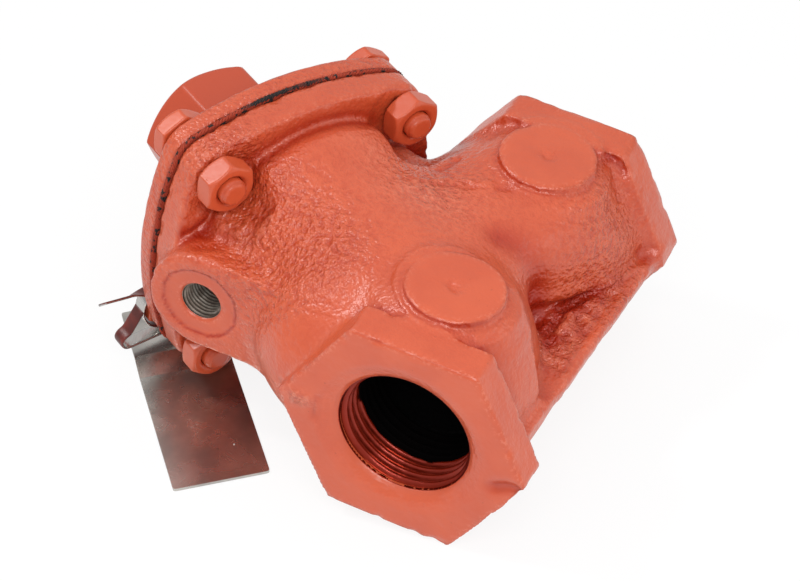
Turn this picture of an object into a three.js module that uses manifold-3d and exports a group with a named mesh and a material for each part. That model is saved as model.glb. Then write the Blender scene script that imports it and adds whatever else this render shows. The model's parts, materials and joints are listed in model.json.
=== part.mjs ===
// Bimetallic steam trap with two coaxial pipe ends and a sloping, bolted chamber.
// Millimetres, +Z up. The trap lies on its hexagonal ends and on the lower edge of its cover flange.

import * as THREE from 'three';
import { mergeVertices } from 'three/addons/utils/BufferGeometryUtils.js';
import Module from 'manifold-3d';

const wasm = await Module();
wasm.setup();

// Pipe ends: one inch taper pipe thread in a hexagon
const portHexAcrossFlats = 50.8;
const portHexDepth = 9.2;
const portHexCornerRadius = 2.4;
const portHexEdgeBevel = 0.6;
const faceToFace = 93;
const portMouthRadius = 16.4;
const portMouthDepth = 1.4;
const portThreadRadius = 15.2;
const portThreadDepth = 20;
const portTaperPerSide = 1 / 32;

// Chamber leg: where its axis crosses the pipe axis, and how far it leans towards the inlet
const outletFaceToLeg = 22.7;
const legLeanDeg = 30.7;
const lobeRadius = 26.2;
const lobeDepth = 27;
const lobeCentreDistance = 9;
const neckRadius = 27.6;
const neckFlangeRadius = 29.2;
const neckRidgeRadius = 30.4;
const neckRidgeFromFlange = 5.1;
const neckRidgeRise = 11;
const outletBarrelRadius = 21.2;

// Inlet pipe: runs straight, then bends up into the leg, its wall beside the web drawn in square to the leg
const inletPipeRadius = 23.8;
const inletPipeLegRadius = 22.4;
const inletBendStart = 55;
const inletBendAngleDeg = 35;
const inletBendRadius = 30;
const inletWallDistance = 4.6;
const shoulderRadius = 23.2;
const shoulderRise = 0.3;
const shoulderAngleDeg = 22;
const shoulderLength = 38;

// Passages inside: from the inlet up into the chamber, and the hollow under the seat
const inletBoreRadius = 10;
const inletBoreAngleDeg = 52;
const inletBoreLength = 34;
const outletHollowRadius = 15;
const outletHollowDistance = 2;

// Flange stack on the leg, as distances from the pipe axis along the leg
const flangeBackDistance = 55.9;
const flangeThickness = 7.6;
const flangeHalfWidth = 35;
const flangeSideRadius = 81;
const flangeCornerRadius = 7.6;
const flangeEdgeBevel = 0.7;
const gasketThickness = 1;
const coverFlangeThickness = 4.8;
const seatGap = 0.2;

// Chamber and partition
const chamberRadius = 20.4;
const chamberFloorDistance = 25;
const seatBoreRadius = 7.4;

// Cover
const coverSpigotDepth = 3;
const coverSpigotClearance = 0.3;
const coverDomeRadius = 23.5;
const coverDomeHeight = 4;
const coverBossRadius = 17.5;
const coverBossHeight = 4.2;

// Hexagonal cap
const capAcrossFlats = 28.8;
const capHexLength = 20.3;
const capThreadRadius = 10;
const capThreadLength = 12;
const capBoreRadius = 6.9;
const capEndWall = 5;
const capGasketThickness = 0.9;
const capGasketWidth = 2.8;

// Cover bolts and nuts
const boltFromCornerTip = 5.66;
const boltRadius = 3.2;
const boltHoleClearance = 0.3;
const boltHeadAcrossFlats = 11.3;
const boltHeadHeight = 4;
const boltEndStandout = 1.8;
const nutAcrossFlats = 11.4;
const nutHeight = 5.4;
const nutPocketClearance = 1.6;
const nutPocketBeyondBolt = 4;

// Pads and tapped boss
const padRadius = 11.2;
const outletPadFromFace = 21.7;
const outletPadTop = 27.7;
const inletPadFromFace = 74.1;
const inletPadTop = 26.6;
const padDimpleRadius = 1.7;
const padDimpleDepth = 0.9;
const padEdgeBevel = 0.5;
const padStandout = 2.2;
const padPlinthStep = 0.8;
const padPlinthRim = 3.3;
const padPlinthRimDrop = 1.9;
const padPlinthSpread = 5;
const padPlinthDepth = 7;
const bossFaceFromFace = 15.7;
const bossAxisFromPipe = 56.3;
const bossRadius = 12.6;
const bossRunIn = 24;
const bossSpotRadius = 8.8;
const bossSpotDepth = 0.5;
const bossMouthRadius = 5.3;
const bossMouthDepth = 0.9;
const bossTapRadius = 4.5;

// Joint-line web between the hexagons, on the side away from the chamber
const webThickness = 4.4;
const webReachAtOutlet = 23.6;
const webReachAtInlet = 27.4;

// Valve parts
const seatHeadRadius = 10;
const seatHeadHeight = 4;
const seatThreadClearance = 0.2;
const seatThreadLength = 7;
const seatOrificeRadius = 2.4;
const seatGasketThickness = 0.8;
const stemRadius = 1.6;
const stemTravel = 2.2;
const valveHeadRadius = 4.2;
const valveHeadLength = 4.6;
const stackPlateRadius = 13;
const stackPlateThickness = 2;
const discPairs = 6;
const discRadius = 11;
const discPairThickness = 2.9;
const discRimThickness = 1.3;
const discGap = 0.3;
const stemClearance = 0.3;
const sleeveRadius = 3.6;
const sleeveCapEntry = 2;
const adjustNutAcrossFlats = 9.6;
const adjustNutHeight = 3.6;
const lockNutHeight = 2.4;
const stemEndStandout = 2.2;
const screenRadius = 16.6;
const screenThickness = 0.8;
const screenRows = 4;
const screenHolesPerRow = 10;
const screenHoleSize = 4.4;

// Tag and its strap
const tagWidth = 22.2;
const tagLength = 63;
const tagThickness = 0.7;
const tagHoleFromEnd = 10;
const tagHoleRadius = 3.4;
const tagCornerRadius = 0.8;
const tagLiftAtHole = 1.8;
const tagJogFromEnd = 17;
const tagJogLength = 6;
const tagYawDeg = 38.9;
const strapWidth = 3.6;
const strapThickness = 0.6;
const strapHeadClearance = 0.3;
const strapTailLength = 12;
const strapTailRise = 1.3;
const strapTailAngleDeg = 38;
const strapFoldOut = 10.4;
const strapFoldRadius = 2;
const strapRunHeight = 5.3;
const strapHookHeight = 0.9;
const strapHookLength = 3.4;

// Facets
const bigSides = 40;
const midSides = 24;
const smallSides = 14;
const arcSteps = 4;

// Worked out from the sizes above
const bend = THREE.MathUtils.degToRad;
const outletX = -outletFaceToLeg;
const inletX = outletX + faceToFace;
const gasketDistance = flangeBackDistance + flangeThickness + seatGap;
const coverDistance = gasketDistance + gasketThickness + seatGap;
const coverFaceDistance = coverDistance + coverFlangeThickness;
const coverBossDistance = coverFaceDistance + coverDomeHeight + coverBossHeight;
const capGasketDistance = coverBossDistance + seatGap;
const capShoulderDistance = capGasketDistance + capGasketThickness + seatGap;
// The corner arcs of the flange are inside its side arcs and centred on the diagonals
const flangeSideCentre = flangeHalfWidth - flangeSideRadius;
const flangeCornerReach = flangeSideRadius - flangeCornerRadius;
const flangeSpan = Math.sqrt(2 * flangeCornerReach ** 2 - flangeSideCentre ** 2);
const flangeCornerCentre = (flangeSideCentre + flangeSpan) / 2;
const boltHoleRadius = boltRadius + boltHoleClearance;
const boltHalf = flangeCornerCentre + (flangeCornerRadius - boltFromCornerTip) * Math.SQRT1_2;

const paint = new THREE.MeshStandardMaterial({ color: 0xb9402a, roughness: 0.42, metalness: 0 });
const stainless = new THREE.MeshStandardMaterial({ color: 0x8f9296, roughness: 0.35, metalness: 1 });
const mirrorSteel = new THREE.MeshStandardMaterial({ color: 0xb8bab8, roughness: 0.08, metalness: 1 });
const bimetal = new THREE.MeshStandardMaterial({ color: 0x9c8f7c, roughness: 0.4, metalness: 1 });
const fibre = new THREE.MeshStandardMaterial({ color: 0x2b2421, roughness: 0.95, metalness: 0 });
const copper = new THREE.MeshStandardMaterial({ color: 0xa8653a, roughness: 0.4, metalness: 1 });

// Booleans: a closed geometry becomes a solid, and a solid becomes a geometry
function solid(geometry) {
  const bare = geometry.clone();
  for (const name of Object.keys(bare.attributes)) {
    if (name !== 'position') bare.deleteAttribute(name);
  }
  const merged = mergeVertices(bare, 1e-4);
  return new wasm.Manifold(new wasm.Mesh({
    numProp: 3,
    vertProperties: new Float32Array(merged.attributes.position.array),
    triVerts: new Uint32Array(merged.index.array),
  }));
}

function geometryOf(manifold) {
  const mesh = manifold.getMesh();
  const geometry = new THREE.BufferGeometry();
  geometry.setAttribute('position', new THREE.BufferAttribute(new Float32Array(mesh.vertProperties), 3));
  geometry.setIndex(new THREE.BufferAttribute(new Uint32Array(mesh.triVerts), 1));
  geometry.computeVertexNormals();
  return geometry;
}

function joined(...geometries) {
  return geometries.map(solid).reduce((sum, next) => sum.add(next));
}

function cut(base, ...tools) {
  return tools.map(solid).reduce((rest, tool) => rest.subtract(tool), base);
}

// Axes: turn a geometry made along +Z so that it runs along the pipe axis or along the leg
const alongPipe = new THREE.Matrix4().makeBasis(
  new THREE.Vector3(0, 1, 0), new THREE.Vector3(0, 0, 1), new THREE.Vector3(1, 0, 0));
const lean = bend(legLeanDeg);
const legAxis = new THREE.Vector3(Math.sin(lean), Math.cos(lean), 0);
const legAcross = new THREE.Vector3(Math.cos(lean), -Math.sin(lean), 0);
const alongLeg = new THREE.Matrix4().makeBasis(legAcross, new THREE.Vector3(0, 0, -1), legAxis);

function onPipe(geometry, x = 0) {
  return geometry.clone().applyMatrix4(alongPipe).translate(x, 0, 0);
}

function onLeg(geometry) {
  return geometry.clone().applyMatrix4(alongLeg);
}

// A body of revolution about Z from [radius, height] pairs, closed on the axis or on itself
function revolve(profile, sides) {
  const points = profile.map(([radius, height]) => new THREE.Vector2(radius, height));
  const geometry = new THREE.LatheGeometry(points, sides);
  return geometry.rotateX(Math.PI / 2);
}

function ring(innerRadius, outerRadius, low, high, sides) {
  return revolve([
    [innerRadius, low], [outerRadius, low], [outerRadius, high], [innerRadius, high], [innerRadius, low],
  ], sides);
}

function rod(radius, low, high, sides) {
  return revolve([[0, low], [radius, low], [radius, high], [0, high]], sides);
}

// A polygon with rounded corners
function roundedPolygon(corners, radius, steps = arcSteps) {
  const points = [];
  corners.forEach((corner, i) => {
    const before = corners[(i + corners.length - 1) % corners.length];
    const after = corners[(i + 1) % corners.length];
    const back = before.clone().sub(corner).normalize();
    const on = after.clone().sub(corner).normalize();
    const half = Math.acos(THREE.MathUtils.clamp(back.dot(on), -1, 1)) / 2;
    const start = corner.clone().addScaledVector(back, radius / Math.tan(half));
    const end = corner.clone().addScaledVector(on, radius / Math.tan(half));
    for (let k = 0; k <= steps; k += 1) {
      const t = k / steps;
      points.push(start.clone().multiplyScalar((1 - t) ** 2)
        .addScaledVector(corner, 2 * t * (1 - t)).addScaledVector(end, t ** 2));
    }
  });
  return new THREE.Shape(points);
}

function hexagonCorners(acrossFlats, turn = 0) {
  const radius = acrossFlats / Math.sqrt(3);
  return [0, 1, 2, 3, 4, 5].map((i) => {
    const angle = turn + (i * Math.PI) / 3;
    return new THREE.Vector2(radius * Math.cos(angle), radius * Math.sin(angle));
  });
}

// A prism with bevelled end edges, from height low to height high
function prism(shape, low, high, bevel = 0) {
  const geometry = new THREE.ExtrudeGeometry(shape, {
    depth: high - low - 2 * bevel,
    bevelEnabled: bevel > 0,
    bevelThickness: bevel,
    bevelSize: bevel,
    bevelOffset: -bevel,
    bevelSegments: 1,
    curveSegments: arcSteps,
  });
  return geometry.translate(0, 0, low + bevel);
}

// A hexagonal prism whose ends are chamfered by a cone that meets the flats, as turned nuts are
function turnedHexagon(acrossFlats, low, high, chamferLow, chamferHigh, turn) {
  const reach = acrossFlats / Math.sqrt(3);
  const flat = acrossFlats / 2;
  const slope = Math.tan(bend(30));
  const drop = (reach - flat + 0.2) * slope;
  const envelope = revolve([
    [0, low],
    [chamferLow ? flat - 0.2 : reach + 1, low],
    [reach + 1, chamferLow ? low + drop + slope : low],
    [reach + 1, chamferHigh ? high - drop - slope : high],
    [chamferHigh ? flat - 0.2 : reach + 1, high],
    [0, high],
  ], midSides);
  return solid(prism(new THREE.Shape(hexagonCorners(acrossFlats, turn)), low, high)).intersect(solid(envelope));
}

// A skin through rings of equal count, closed by a fan at each end
function loft(rings) {
  const count = rings[0].length;
  const positions = rings.flat().flatMap((p) => [p.x, p.y, p.z]);
  const index = [];
  for (let r = 0; r + 1 < rings.length; r += 1) {
    for (let k = 0; k < count; k += 1) {
      const a = r * count + k;
      const b = r * count + ((k + 1) % count);
      index.push(a, b, a + count, b, b + count, a + count);
    }
  }
  const ends = [[0, true], [rings.length - 1, false]];
  ends.forEach(([r, first]) => {
    const centre = rings[r].reduce((sum, p) => sum.add(p), new THREE.Vector3()).divideScalar(count);
    const at = positions.length / 3;
    positions.push(centre.x, centre.y, centre.z);
    for (let k = 0; k < count; k += 1) {
      const a = r * count + k;
      const b = r * count + ((k + 1) % count);
      index.push(...(first ? [at, b, a] : [at, a, b]));
    }
  });
  const geometry = new THREE.BufferGeometry();
  geometry.setAttribute('position', new THREE.Float32BufferAttribute(positions, 3));
  geometry.setIndex(index);
  return geometry;
}

// A round pipe along points in the pipe plane, with its own radius at each point
function pipeAlong(points, radii, sides) {
  const rings = points.map((point, i) => {
    const before = points[Math.max(i - 1, 0)];
    const after = points[Math.min(i + 1, points.length - 1)];
    const run = after.clone().sub(before).normalize();
    const side = new THREE.Vector3(-run.y, run.x, 0);
    return Array.from({ length: sides }, (_, k) => {
      const angle = (k * 2 * Math.PI) / sides;
      return point.clone().addScaledVector(side, radii[i] * Math.cos(angle))
        .add(new THREE.Vector3(0, 0, radii[i] * Math.sin(angle)));
    });
  });
  return loft(rings);
}

// The inlet's centre line: straight from startX, round the bend, then straight into the leg
function inletRoute(startX, legRun) {
  const turn = bend(inletBendAngleDeg);
  const points = [new THREE.Vector3(startX, 0, 0)];
  const bendX = outletX + inletBendStart + inletBendRadius * Math.tan(turn / 2);
  for (let k = 0; k <= arcSteps; k += 1) {
    const angle = (turn * k) / arcSteps;
    points.push(new THREE.Vector3(
      bendX - inletBendRadius * Math.sin(angle), inletBendRadius * (1 - Math.cos(angle)), 0));
  }
  const last = points[points.length - 1];
  points.push(last.clone().add(new THREE.Vector3(-Math.cos(turn), Math.sin(turn), 0).multiplyScalar(legRun)));
  return points;
}

// The convex-sided square of the flange, gasket and cover
function flangeShape() {
  const spread = Math.atan2(flangeCornerCentre, flangeCornerCentre - flangeSideCentre);
  const points = [];
  for (let side = 0; side < 4; side += 1) {
    const turn = (side * Math.PI) / 2;
    const place = (x, y) => new THREE.Vector2(
      x * Math.cos(turn) - y * Math.sin(turn), x * Math.sin(turn) + y * Math.cos(turn));
    for (let k = 0; k <= 2 * arcSteps; k += 1) {
      const angle = -spread + (spread * k) / arcSteps;
      points.push(place(
        flangeSideCentre + flangeSideRadius * Math.cos(angle), flangeSideRadius * Math.sin(angle)));
    }
    for (let k = 1; k < arcSteps; k += 1) {
      const angle = spread + ((Math.PI / 2 - 2 * spread) * k) / arcSteps;
      points.push(place(
        flangeCornerCentre + flangeCornerRadius * Math.cos(angle),
        flangeCornerCentre + flangeCornerRadius * Math.sin(angle)));
    }
  }
  return new THREE.Shape(points);
}

const boltPlaces = [[-1, -1], [1, -1], [-1, 1], [1, 1]].map(([x, y]) => [x * boltHalf, y * boltHalf]);

function atBolts(geometry) {
  return boltPlaces.map(([x, y]) => geometry.clone().translate(x, y, 0));
}

// Body casting
function portHexagon(startX) {
  const shape = roundedPolygon(hexagonCorners(portHexAcrossFlats), portHexCornerRadius);
  return onPipe(prism(shape, 0, portHexDepth, portHexEdgeBevel), startX);
}

function legSkin() {
  const profile = [];
  // rounded end below the pipe axis
  for (let k = 0; k <= 2 * arcSteps; k += 1) {
    const angle = (k * Math.PI) / (4 * arcSteps);
    profile.push([lobeRadius * Math.sin(angle), lobeCentreDistance - lobeDepth * Math.cos(angle)]);
  }
  // the neck swells to a low ridge and draws in again at the flange
  const ridgeDistance = flangeBackDistance - neckRidgeFromFlange;
  for (let k = 0; k <= arcSteps; k += 1) {
    const swell = (1 - Math.cos((k * Math.PI) / arcSteps)) / 2;
    profile.push([
      neckRadius + (neckRidgeRadius - neckRadius) * swell,
      ridgeDistance - neckRidgeRise * (1 - k / arcSteps)]);
  }
  profile.push([neckFlangeRadius, flangeBackDistance]);
  profile.push([neckFlangeRadius, flangeBackDistance + 1]);
  profile.push([0, flangeBackDistance + 1]);
  return onLeg(revolve(profile, bigSides));
}

function bossSlab() {
  const start = bossAxisFromPipe - bossRunIn * 2;
  const shape = new THREE.Shape();
  shape.moveTo(start, -bossRadius);
  shape.lineTo(bossAxisFromPipe, -bossRadius);
  shape.absarc(bossAxisFromPipe, 0, bossRadius, -Math.PI / 2, Math.PI / 2, false);
  shape.lineTo(start, bossRadius);
  return onPipe(prism(shape, 0, bossRunIn), outletX + bossFaceFromFace);
}

function pad(fromFace, top) {
  const profile = [
    [0, top - padStandout - padPlinthDepth],
    [padRadius + padPlinthSpread, top - padStandout - padPlinthDepth],
    [padRadius + padPlinthRim, top - padStandout - padPlinthRimDrop],
    [padRadius + padPlinthStep, top - padStandout],
    [padRadius, top - padStandout],
    [padRadius, top - padEdgeBevel],
    [padRadius - padEdgeBevel, top],
    [padDimpleRadius, top],
    [0, top - padDimpleDepth],
  ];
  return revolve(profile, midSides).translate(outletX + fromFace, 0, 0);
}

function jointWeb() {
  const shape = new THREE.Shape([
    new THREE.Vector2(outletX + portHexDepth / 2, 0),
    new THREE.Vector2(outletX + portHexDepth / 2, -webReachAtOutlet),
    new THREE.Vector2(inletX - portHexDepth / 2, -webReachAtInlet),
    new THREE.Vector2(inletX - portHexDepth / 2, 0),
  ]);
  return prism(shape, -webThickness / 2, webThickness / 2);
}

function portBore(depth, beyond) {
  const endRadius = portThreadRadius - portThreadDepth * portTaperPerSide;
  return revolve([
    [0, -1],
    [portMouthRadius + (portMouthRadius - portThreadRadius) / portMouthDepth, -1],
    [portMouthRadius, 0],
    [portThreadRadius, portMouthDepth],
    [endRadius, portThreadDepth],
    [beyond, portThreadDepth + Math.abs(endRadius - beyond)],
    [beyond, depth],
    [0, depth],
  ], bigSides);
}

function outletHollow() {
  const profile = [];
  for (let k = 0; k <= 4 * arcSteps; k += 1) {
    const angle = (k * Math.PI) / (4 * arcSteps);
    profile.push([
      outletHollowRadius * Math.sin(angle), outletHollowDistance - outletHollowRadius * Math.cos(angle)]);
  }
  return onLeg(revolve(profile, midSides));
}

// A straight round pipe in the pipe plane that slopes up from startX towards the chamber
function slopingPipe(startX, startY, angleDeg, length, radius, sides) {
  const slope = bend(angleDeg);
  const start = new THREE.Vector3(startX, startY, 0);
  const end = start.clone().add(new THREE.Vector3(-Math.cos(slope), Math.sin(slope), 0).multiplyScalar(length));
  return pipeAlong([start, end], [radius, radius], sides);
}

function inletPipe() {
  const barrelEnd = inletX - portHexDepth / 2;
  const route = inletRoute(barrelEnd, inletBendRadius);
  const radii = route.map((_, i) => THREE.MathUtils.lerp(
    inletPipeRadius, inletPipeLegRadius, i / (route.length - 1)));
  // far enough back for its tilted end to stay inside the hexagon
  const shoulderBack = shoulderRadius * Math.sin(bend(shoulderAngleDeg));
  const skin = joined(
    pipeAlong(route, radii, bigSides),
    slopingPipe(barrelEnd - shoulderBack, shoulderRise + shoulderBack * Math.tan(bend(shoulderAngleDeg)),
      shoulderAngleDeg, shoulderLength, shoulderRadius, bigSides),
  );
  return cut(skin, onLeg(rod(faceToFace, inletWallDistance - faceToFace, inletWallDistance, smallSides)));
}

function makeBody() {
  const outletBarrel = onPipe(rod(outletBarrelRadius, portHexDepth / 2, outletFaceToLeg, bigSides), outletX);
  let body = joined(
    portHexagon(outletX),
    portHexagon(inletX - portHexDepth),
    outletBarrel,
    legSkin(),
    onLeg(prism(flangeShape(), flangeBackDistance, flangeBackDistance + flangeThickness, flangeEdgeBevel)),
    bossSlab(),
    pad(outletPadFromFace, outletPadTop),
    pad(inletPadFromFace, inletPadTop),
    jointWeb(),
  ).add(inletPipe());
  const inletBore = portBore(portThreadDepth + 4, inletBoreRadius).rotateX(Math.PI);
  const pocketDepth = nutHeight + boltEndStandout + nutPocketBeyondBolt;
  const pocket = rod(nutAcrossFlats / Math.sqrt(3) + nutPocketClearance,
    flangeBackDistance - pocketDepth, flangeBackDistance, midSides);
  const bossX = outletX + bossFaceFromFace;
  const jointFace = flangeBackDistance + flangeThickness;
  body = cut(
    body,
    onLeg(rod(2 * flangeHalfWidth, jointFace, jointFace + bossRunIn, smallSides)),
    onPipe(portBore(portThreadDepth, portThreadRadius - portThreadDepth * portTaperPerSide), outletX),
    onPipe(inletBore, inletX),
    slopingPipe(inletX - portThreadDepth, 0, inletBoreAngleDeg, inletBoreLength, inletBoreRadius, midSides),
    outletHollow(),
    onLeg(rod(chamberRadius, chamberFloorDistance, jointFace + 1, bigSides)),
    onLeg(rod(seatBoreRadius, chamberFloorDistance / 2, chamberFloorDistance + 1, midSides)),
    ...atBolts(rod(boltHoleRadius, flangeBackDistance - 1, jointFace + 1, smallSides)).map(onLeg),
    ...atBolts(pocket).map(onLeg),
    onPipe(rod(bossSpotRadius, -1, bossSpotDepth, midSides), bossX).translate(0, bossAxisFromPipe, 0),
    onPipe(revolve([
      [0, bossSpotDepth - 0.5],
      [bossMouthRadius, bossSpotDepth - 0.5],
      [bossMouthRadius, bossSpotDepth],
      [bossTapRadius, bossSpotDepth + bossMouthDepth],
      [bossTapRadius, bossRunIn],
      [0, bossRunIn],
    ], midSides), bossX).translate(0, bossAxisFromPipe, 0),
  );
  return geometryOf(body);
}

// Cover, gasket, cap
function makeCover() {
  const spigot = chamberRadius - coverSpigotClearance;
  const shell = joined(
    prism(flangeShape(), coverDistance, coverFaceDistance, flangeEdgeBevel),
    revolve([
      [0, coverDistance - coverSpigotDepth],
      [spigot, coverDistance - coverSpigotDepth],
      [spigot, coverDistance],
      [coverDomeRadius, coverFaceDistance - 1],
      [coverDomeRadius, coverFaceDistance],
      [coverBossRadius + 1, coverFaceDistance + coverDomeHeight],
      [coverBossRadius, coverFaceDistance + coverDomeHeight + 1],
      [coverBossRadius, coverBossDistance - 1],
      [coverBossRadius - 1, coverBossDistance],
      [0, coverBossDistance],
    ], bigSides),
  );
  const capBore = rod(
    capThreadRadius + seatGap, coverDistance - coverSpigotDepth - 1, coverBossDistance + 1, midSides);
  const holes = atBolts(rod(boltHoleRadius, coverDistance - 1, coverFaceDistance + 1, smallSides));
  return geometryOf(cut(shell, capBore, ...holes));
}

function makeGasket() {
  const sheet = solid(prism(flangeShape(), gasketDistance, gasketDistance + gasketThickness));
  const opening = rod(chamberRadius, gasketDistance - 1, gasketDistance + gasketThickness + 1, bigSides);
  const holes = atBolts(rod(
    boltRadius + boltHoleClearance, gasketDistance - 1, gasketDistance + gasketThickness + 1, smallSides));
  return geometryOf(cut(sheet, opening, ...holes));
}

const capEndDistance = capShoulderDistance + capHexLength;

function makeCap() {
  const hexagon = turnedHexagon(capAcrossFlats, capShoulderDistance, capEndDistance, false, true, bend(2));
  const threadStart = capShoulderDistance - capThreadLength;
  const thread = solid(rod(capThreadRadius, threadStart, capShoulderDistance + 1, midSides));
  const bore = rod(capBoreRadius, threadStart - 1, capEndDistance - capEndWall, midSides);
  return geometryOf(cut(hexagon.add(thread), bore));
}

function makeCapGasket() {
  const inner = capThreadRadius + seatGap + capGasketThickness / 2;
  const top = capGasketDistance + capGasketThickness;
  return ring(inner, inner + capGasketWidth, capGasketDistance, top, midSides);
}

// Fasteners, made at the leg's axis and moved to their holes by the mesh
function makeBolt() {
  const headLow = coverFaceDistance + seatGap;
  const end = flangeBackDistance - seatGap - nutHeight - boltEndStandout;
  const head = turnedHexagon(boltHeadAcrossFlats, headLow, headLow + boltHeadHeight, false, true, Math.PI / 6);
  const shank = revolve([
    [0, end], [boltRadius - 0.6, end], [boltRadius, end + 0.6], [boltRadius, headLow + 1], [0, headLow + 1],
  ], smallSides);
  return geometryOf(head.add(solid(shank)));
}

function makeNut() {
  const high = flangeBackDistance - seatGap;
  const hexagon = turnedHexagon(nutAcrossFlats, high - nutHeight, high, true, false, Math.PI / 6);
  const hole = rod(boltRadius + seatGap, high - nutHeight - 1, high + 1, smallSides);
  return geometryOf(cut(hexagon, hole));
}

// Valve and bimetal stack
const seatGasketDistance = chamberFloorDistance + seatGap;
const seatShoulderDistance = seatGasketDistance + seatGasketThickness + seatGap;
const seatTopDistance = seatShoulderDistance + seatHeadHeight;
const seatLowDistance = seatShoulderDistance - seatThreadLength;
const plateDistance = seatTopDistance + seatGap;
const stackDistance = plateDistance + stackPlateThickness + discGap;
const stackTopDistance = stackDistance + discPairs * (discPairThickness + discGap);
const sleeveTopDistance = capShoulderDistance + sleeveCapEntry;
const adjustNutDistance = sleeveTopDistance + seatGap;
const lockNutDistance = adjustNutDistance + adjustNutHeight + seatGap;
const stemTopDistance = lockNutDistance + lockNutHeight + stemEndStandout;

function makeSeat() {
  const head = turnedHexagon(2 * seatHeadRadius * Math.cos(Math.PI / 6),
    seatShoulderDistance, seatTopDistance, false, true, 0);
  const threadRadius = seatBoreRadius - seatThreadClearance;
  const thread = solid(rod(threadRadius, seatLowDistance, seatShoulderDistance + 1, midSides));
  const orifice = revolve([
    [0, seatLowDistance - 1],
    [seatOrificeRadius + 1, seatLowDistance - 1],
    [seatOrificeRadius + 1, seatLowDistance],
    [seatOrificeRadius, seatLowDistance + 1],
    [seatOrificeRadius, seatTopDistance + 1],
    [0, seatTopDistance + 1],
  ], smallSides);
  return geometryOf(cut(head.add(thread), orifice));
}

function makeStem() {
  const headTop = seatLowDistance - stemTravel - seatGap;
  const profile = [
    [0, headTop - valveHeadLength],
    [valveHeadRadius - 0.6, headTop - valveHeadLength],
    [valveHeadRadius, headTop - valveHeadLength + 0.6],
    [valveHeadRadius, headTop - 1.6],
    [seatOrificeRadius + 0.4, headTop],
    [stemRadius, headTop],
    [stemRadius, stemTopDistance - 0.4],
    [stemRadius - 0.4, stemTopDistance],
    [0, stemTopDistance],
  ];
  return revolve(profile, smallSides);
}

function makeDiscPair(number) {
  const low = stackDistance + number * (discPairThickness + discGap);
  const rimLow = low + (discPairThickness - discRimThickness) / 2;
  return revolve([
    [stemRadius + stemClearance, low],
    [stemRadius + 2, low],
    [discRadius, rimLow],
    [discRadius, rimLow + discRimThickness],
    [stemRadius + 2, low + discPairThickness],
    [stemRadius + stemClearance, low + discPairThickness],
    [stemRadius + stemClearance, low],
  ], smallSides + 4);
}

function makeStackPlate() {
  const plate = ring(stemRadius + stemClearance, stackPlateRadius, plateDistance,
    plateDistance + stackPlateThickness, midSides);
  const ports = [0, 1, 2, 3].map((i) => {
    const angle = (i * Math.PI) / 2 + Math.PI / 4;
    const reach = (stackPlateRadius + stemRadius) / 2;
    return rod(stackPlateRadius / 6, plateDistance - 1, plateDistance + stackPlateThickness + 1, 12)
      .translate(reach * Math.cos(angle), reach * Math.sin(angle), 0);
  });
  return geometryOf(cut(solid(plate), ...ports));
}

function makeHexNut(acrossFlats, low, high) {
  const hexagon = turnedHexagon(acrossFlats, low, high, true, true, 0);
  return geometryOf(cut(hexagon, rod(stemRadius + seatGap, low - 1, high + 1, smallSides)));
}

function makeScreen() {
  const low = chamberFloorDistance + seatGap;
  const high = coverDistance - coverSpigotDepth - seatGap;
  const tube = solid(ring(screenRadius - screenThickness, screenRadius, low, high, bigSides - 16));
  const pitch = (high - low) / (screenRows + 0.5);
  const windows = [];
  for (let row = 0; row < screenRows; row += 1) {
    for (let k = 0; k < screenHolesPerRow; k += 1) {
      const angle = ((k + (row % 2) / 2) * 2 * Math.PI) / screenHolesPerRow;
      windows.push(new THREE.CylinderGeometry(screenHoleSize / 2, screenHoleSize / 2, 4 * screenThickness, 6)
        .rotateZ(Math.PI / 2).translate(screenRadius - screenThickness / 2, 0, low + pitch * (row + 0.75))
        .rotateZ(angle));
    }
  }
  return geometryOf(cut(tube, ...windows));
}

// How far the trap rolls about the pipe axis before its flange meets the floor
function restingRoll(points, balanceY) {
  const sorted = points.slice().sort((a, b) => a[0] - b[0]);
  const hull = [];
  for (const p of sorted) {
    while (hull.length > 1) {
      const [a, b] = hull.slice(-2);
      if ((b[0] - a[0]) * (p[1] - a[1]) - (b[1] - a[1]) * (p[0] - a[0]) > 0) break;
      hull.pop();
    }
    hull.push(p);
  }
  const right = hull.findIndex((p) => p[0] > balanceY);
  const [a, b] = [hull[right - 1], hull[right]];
  return -Math.atan2(b[1] - a[1], b[0] - a[0]);
}

function piece(name, geometry, material, x = 0, y = 0) {
  const mesh = new THREE.Mesh(geometry, material);
  mesh.name = name;
  mesh.position.set(x, y, 0);
  return mesh;
}

// The leg's own group: X across the leg, Z out along it
const leg = new THREE.Group();
leg.rotation.set(-Math.PI / 2, 0, -lean, 'ZYX');
leg.add(piece('cover_gasket', makeGasket(), fibre));
leg.add(piece('cover', makeCover(), paint));
leg.add(piece('cap_gasket', makeCapGasket(), copper));
leg.add(piece('hex_cap', makeCap(), paint));
boltPlaces.forEach(([x, y], i) => {
  leg.add(piece(`cover_bolt_${i + 1}`, makeBolt(), paint, x, y));
  leg.add(piece(`cover_nut_${i + 1}`, makeNut(), paint, x, y));
});
leg.add(piece('seat_gasket', ring(seatBoreRadius + seatGap, seatHeadRadius * Math.cos(Math.PI / 6) - seatGap,
  seatGasketDistance, seatGasketDistance + seatGasketThickness, midSides), copper));
leg.add(piece('valve_seat', makeSeat(), stainless));
leg.add(piece('valve_stem', makeStem(), stainless));
leg.add(piece('stack_plate', makeStackPlate(), stainless));
for (let i = 0; i < discPairs; i += 1) leg.add(piece(`bimetal_pair_${i + 1}`, makeDiscPair(i), bimetal));
leg.add(piece('spacer_sleeve', ring(stemRadius + stemClearance, sleeveRadius, stackTopDistance,
  sleeveTopDistance, smallSides), stainless));
leg.add(piece('adjusting_nut', makeHexNut(adjustNutAcrossFlats, adjustNutDistance,
  adjustNutDistance + adjustNutHeight), stainless));
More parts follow.
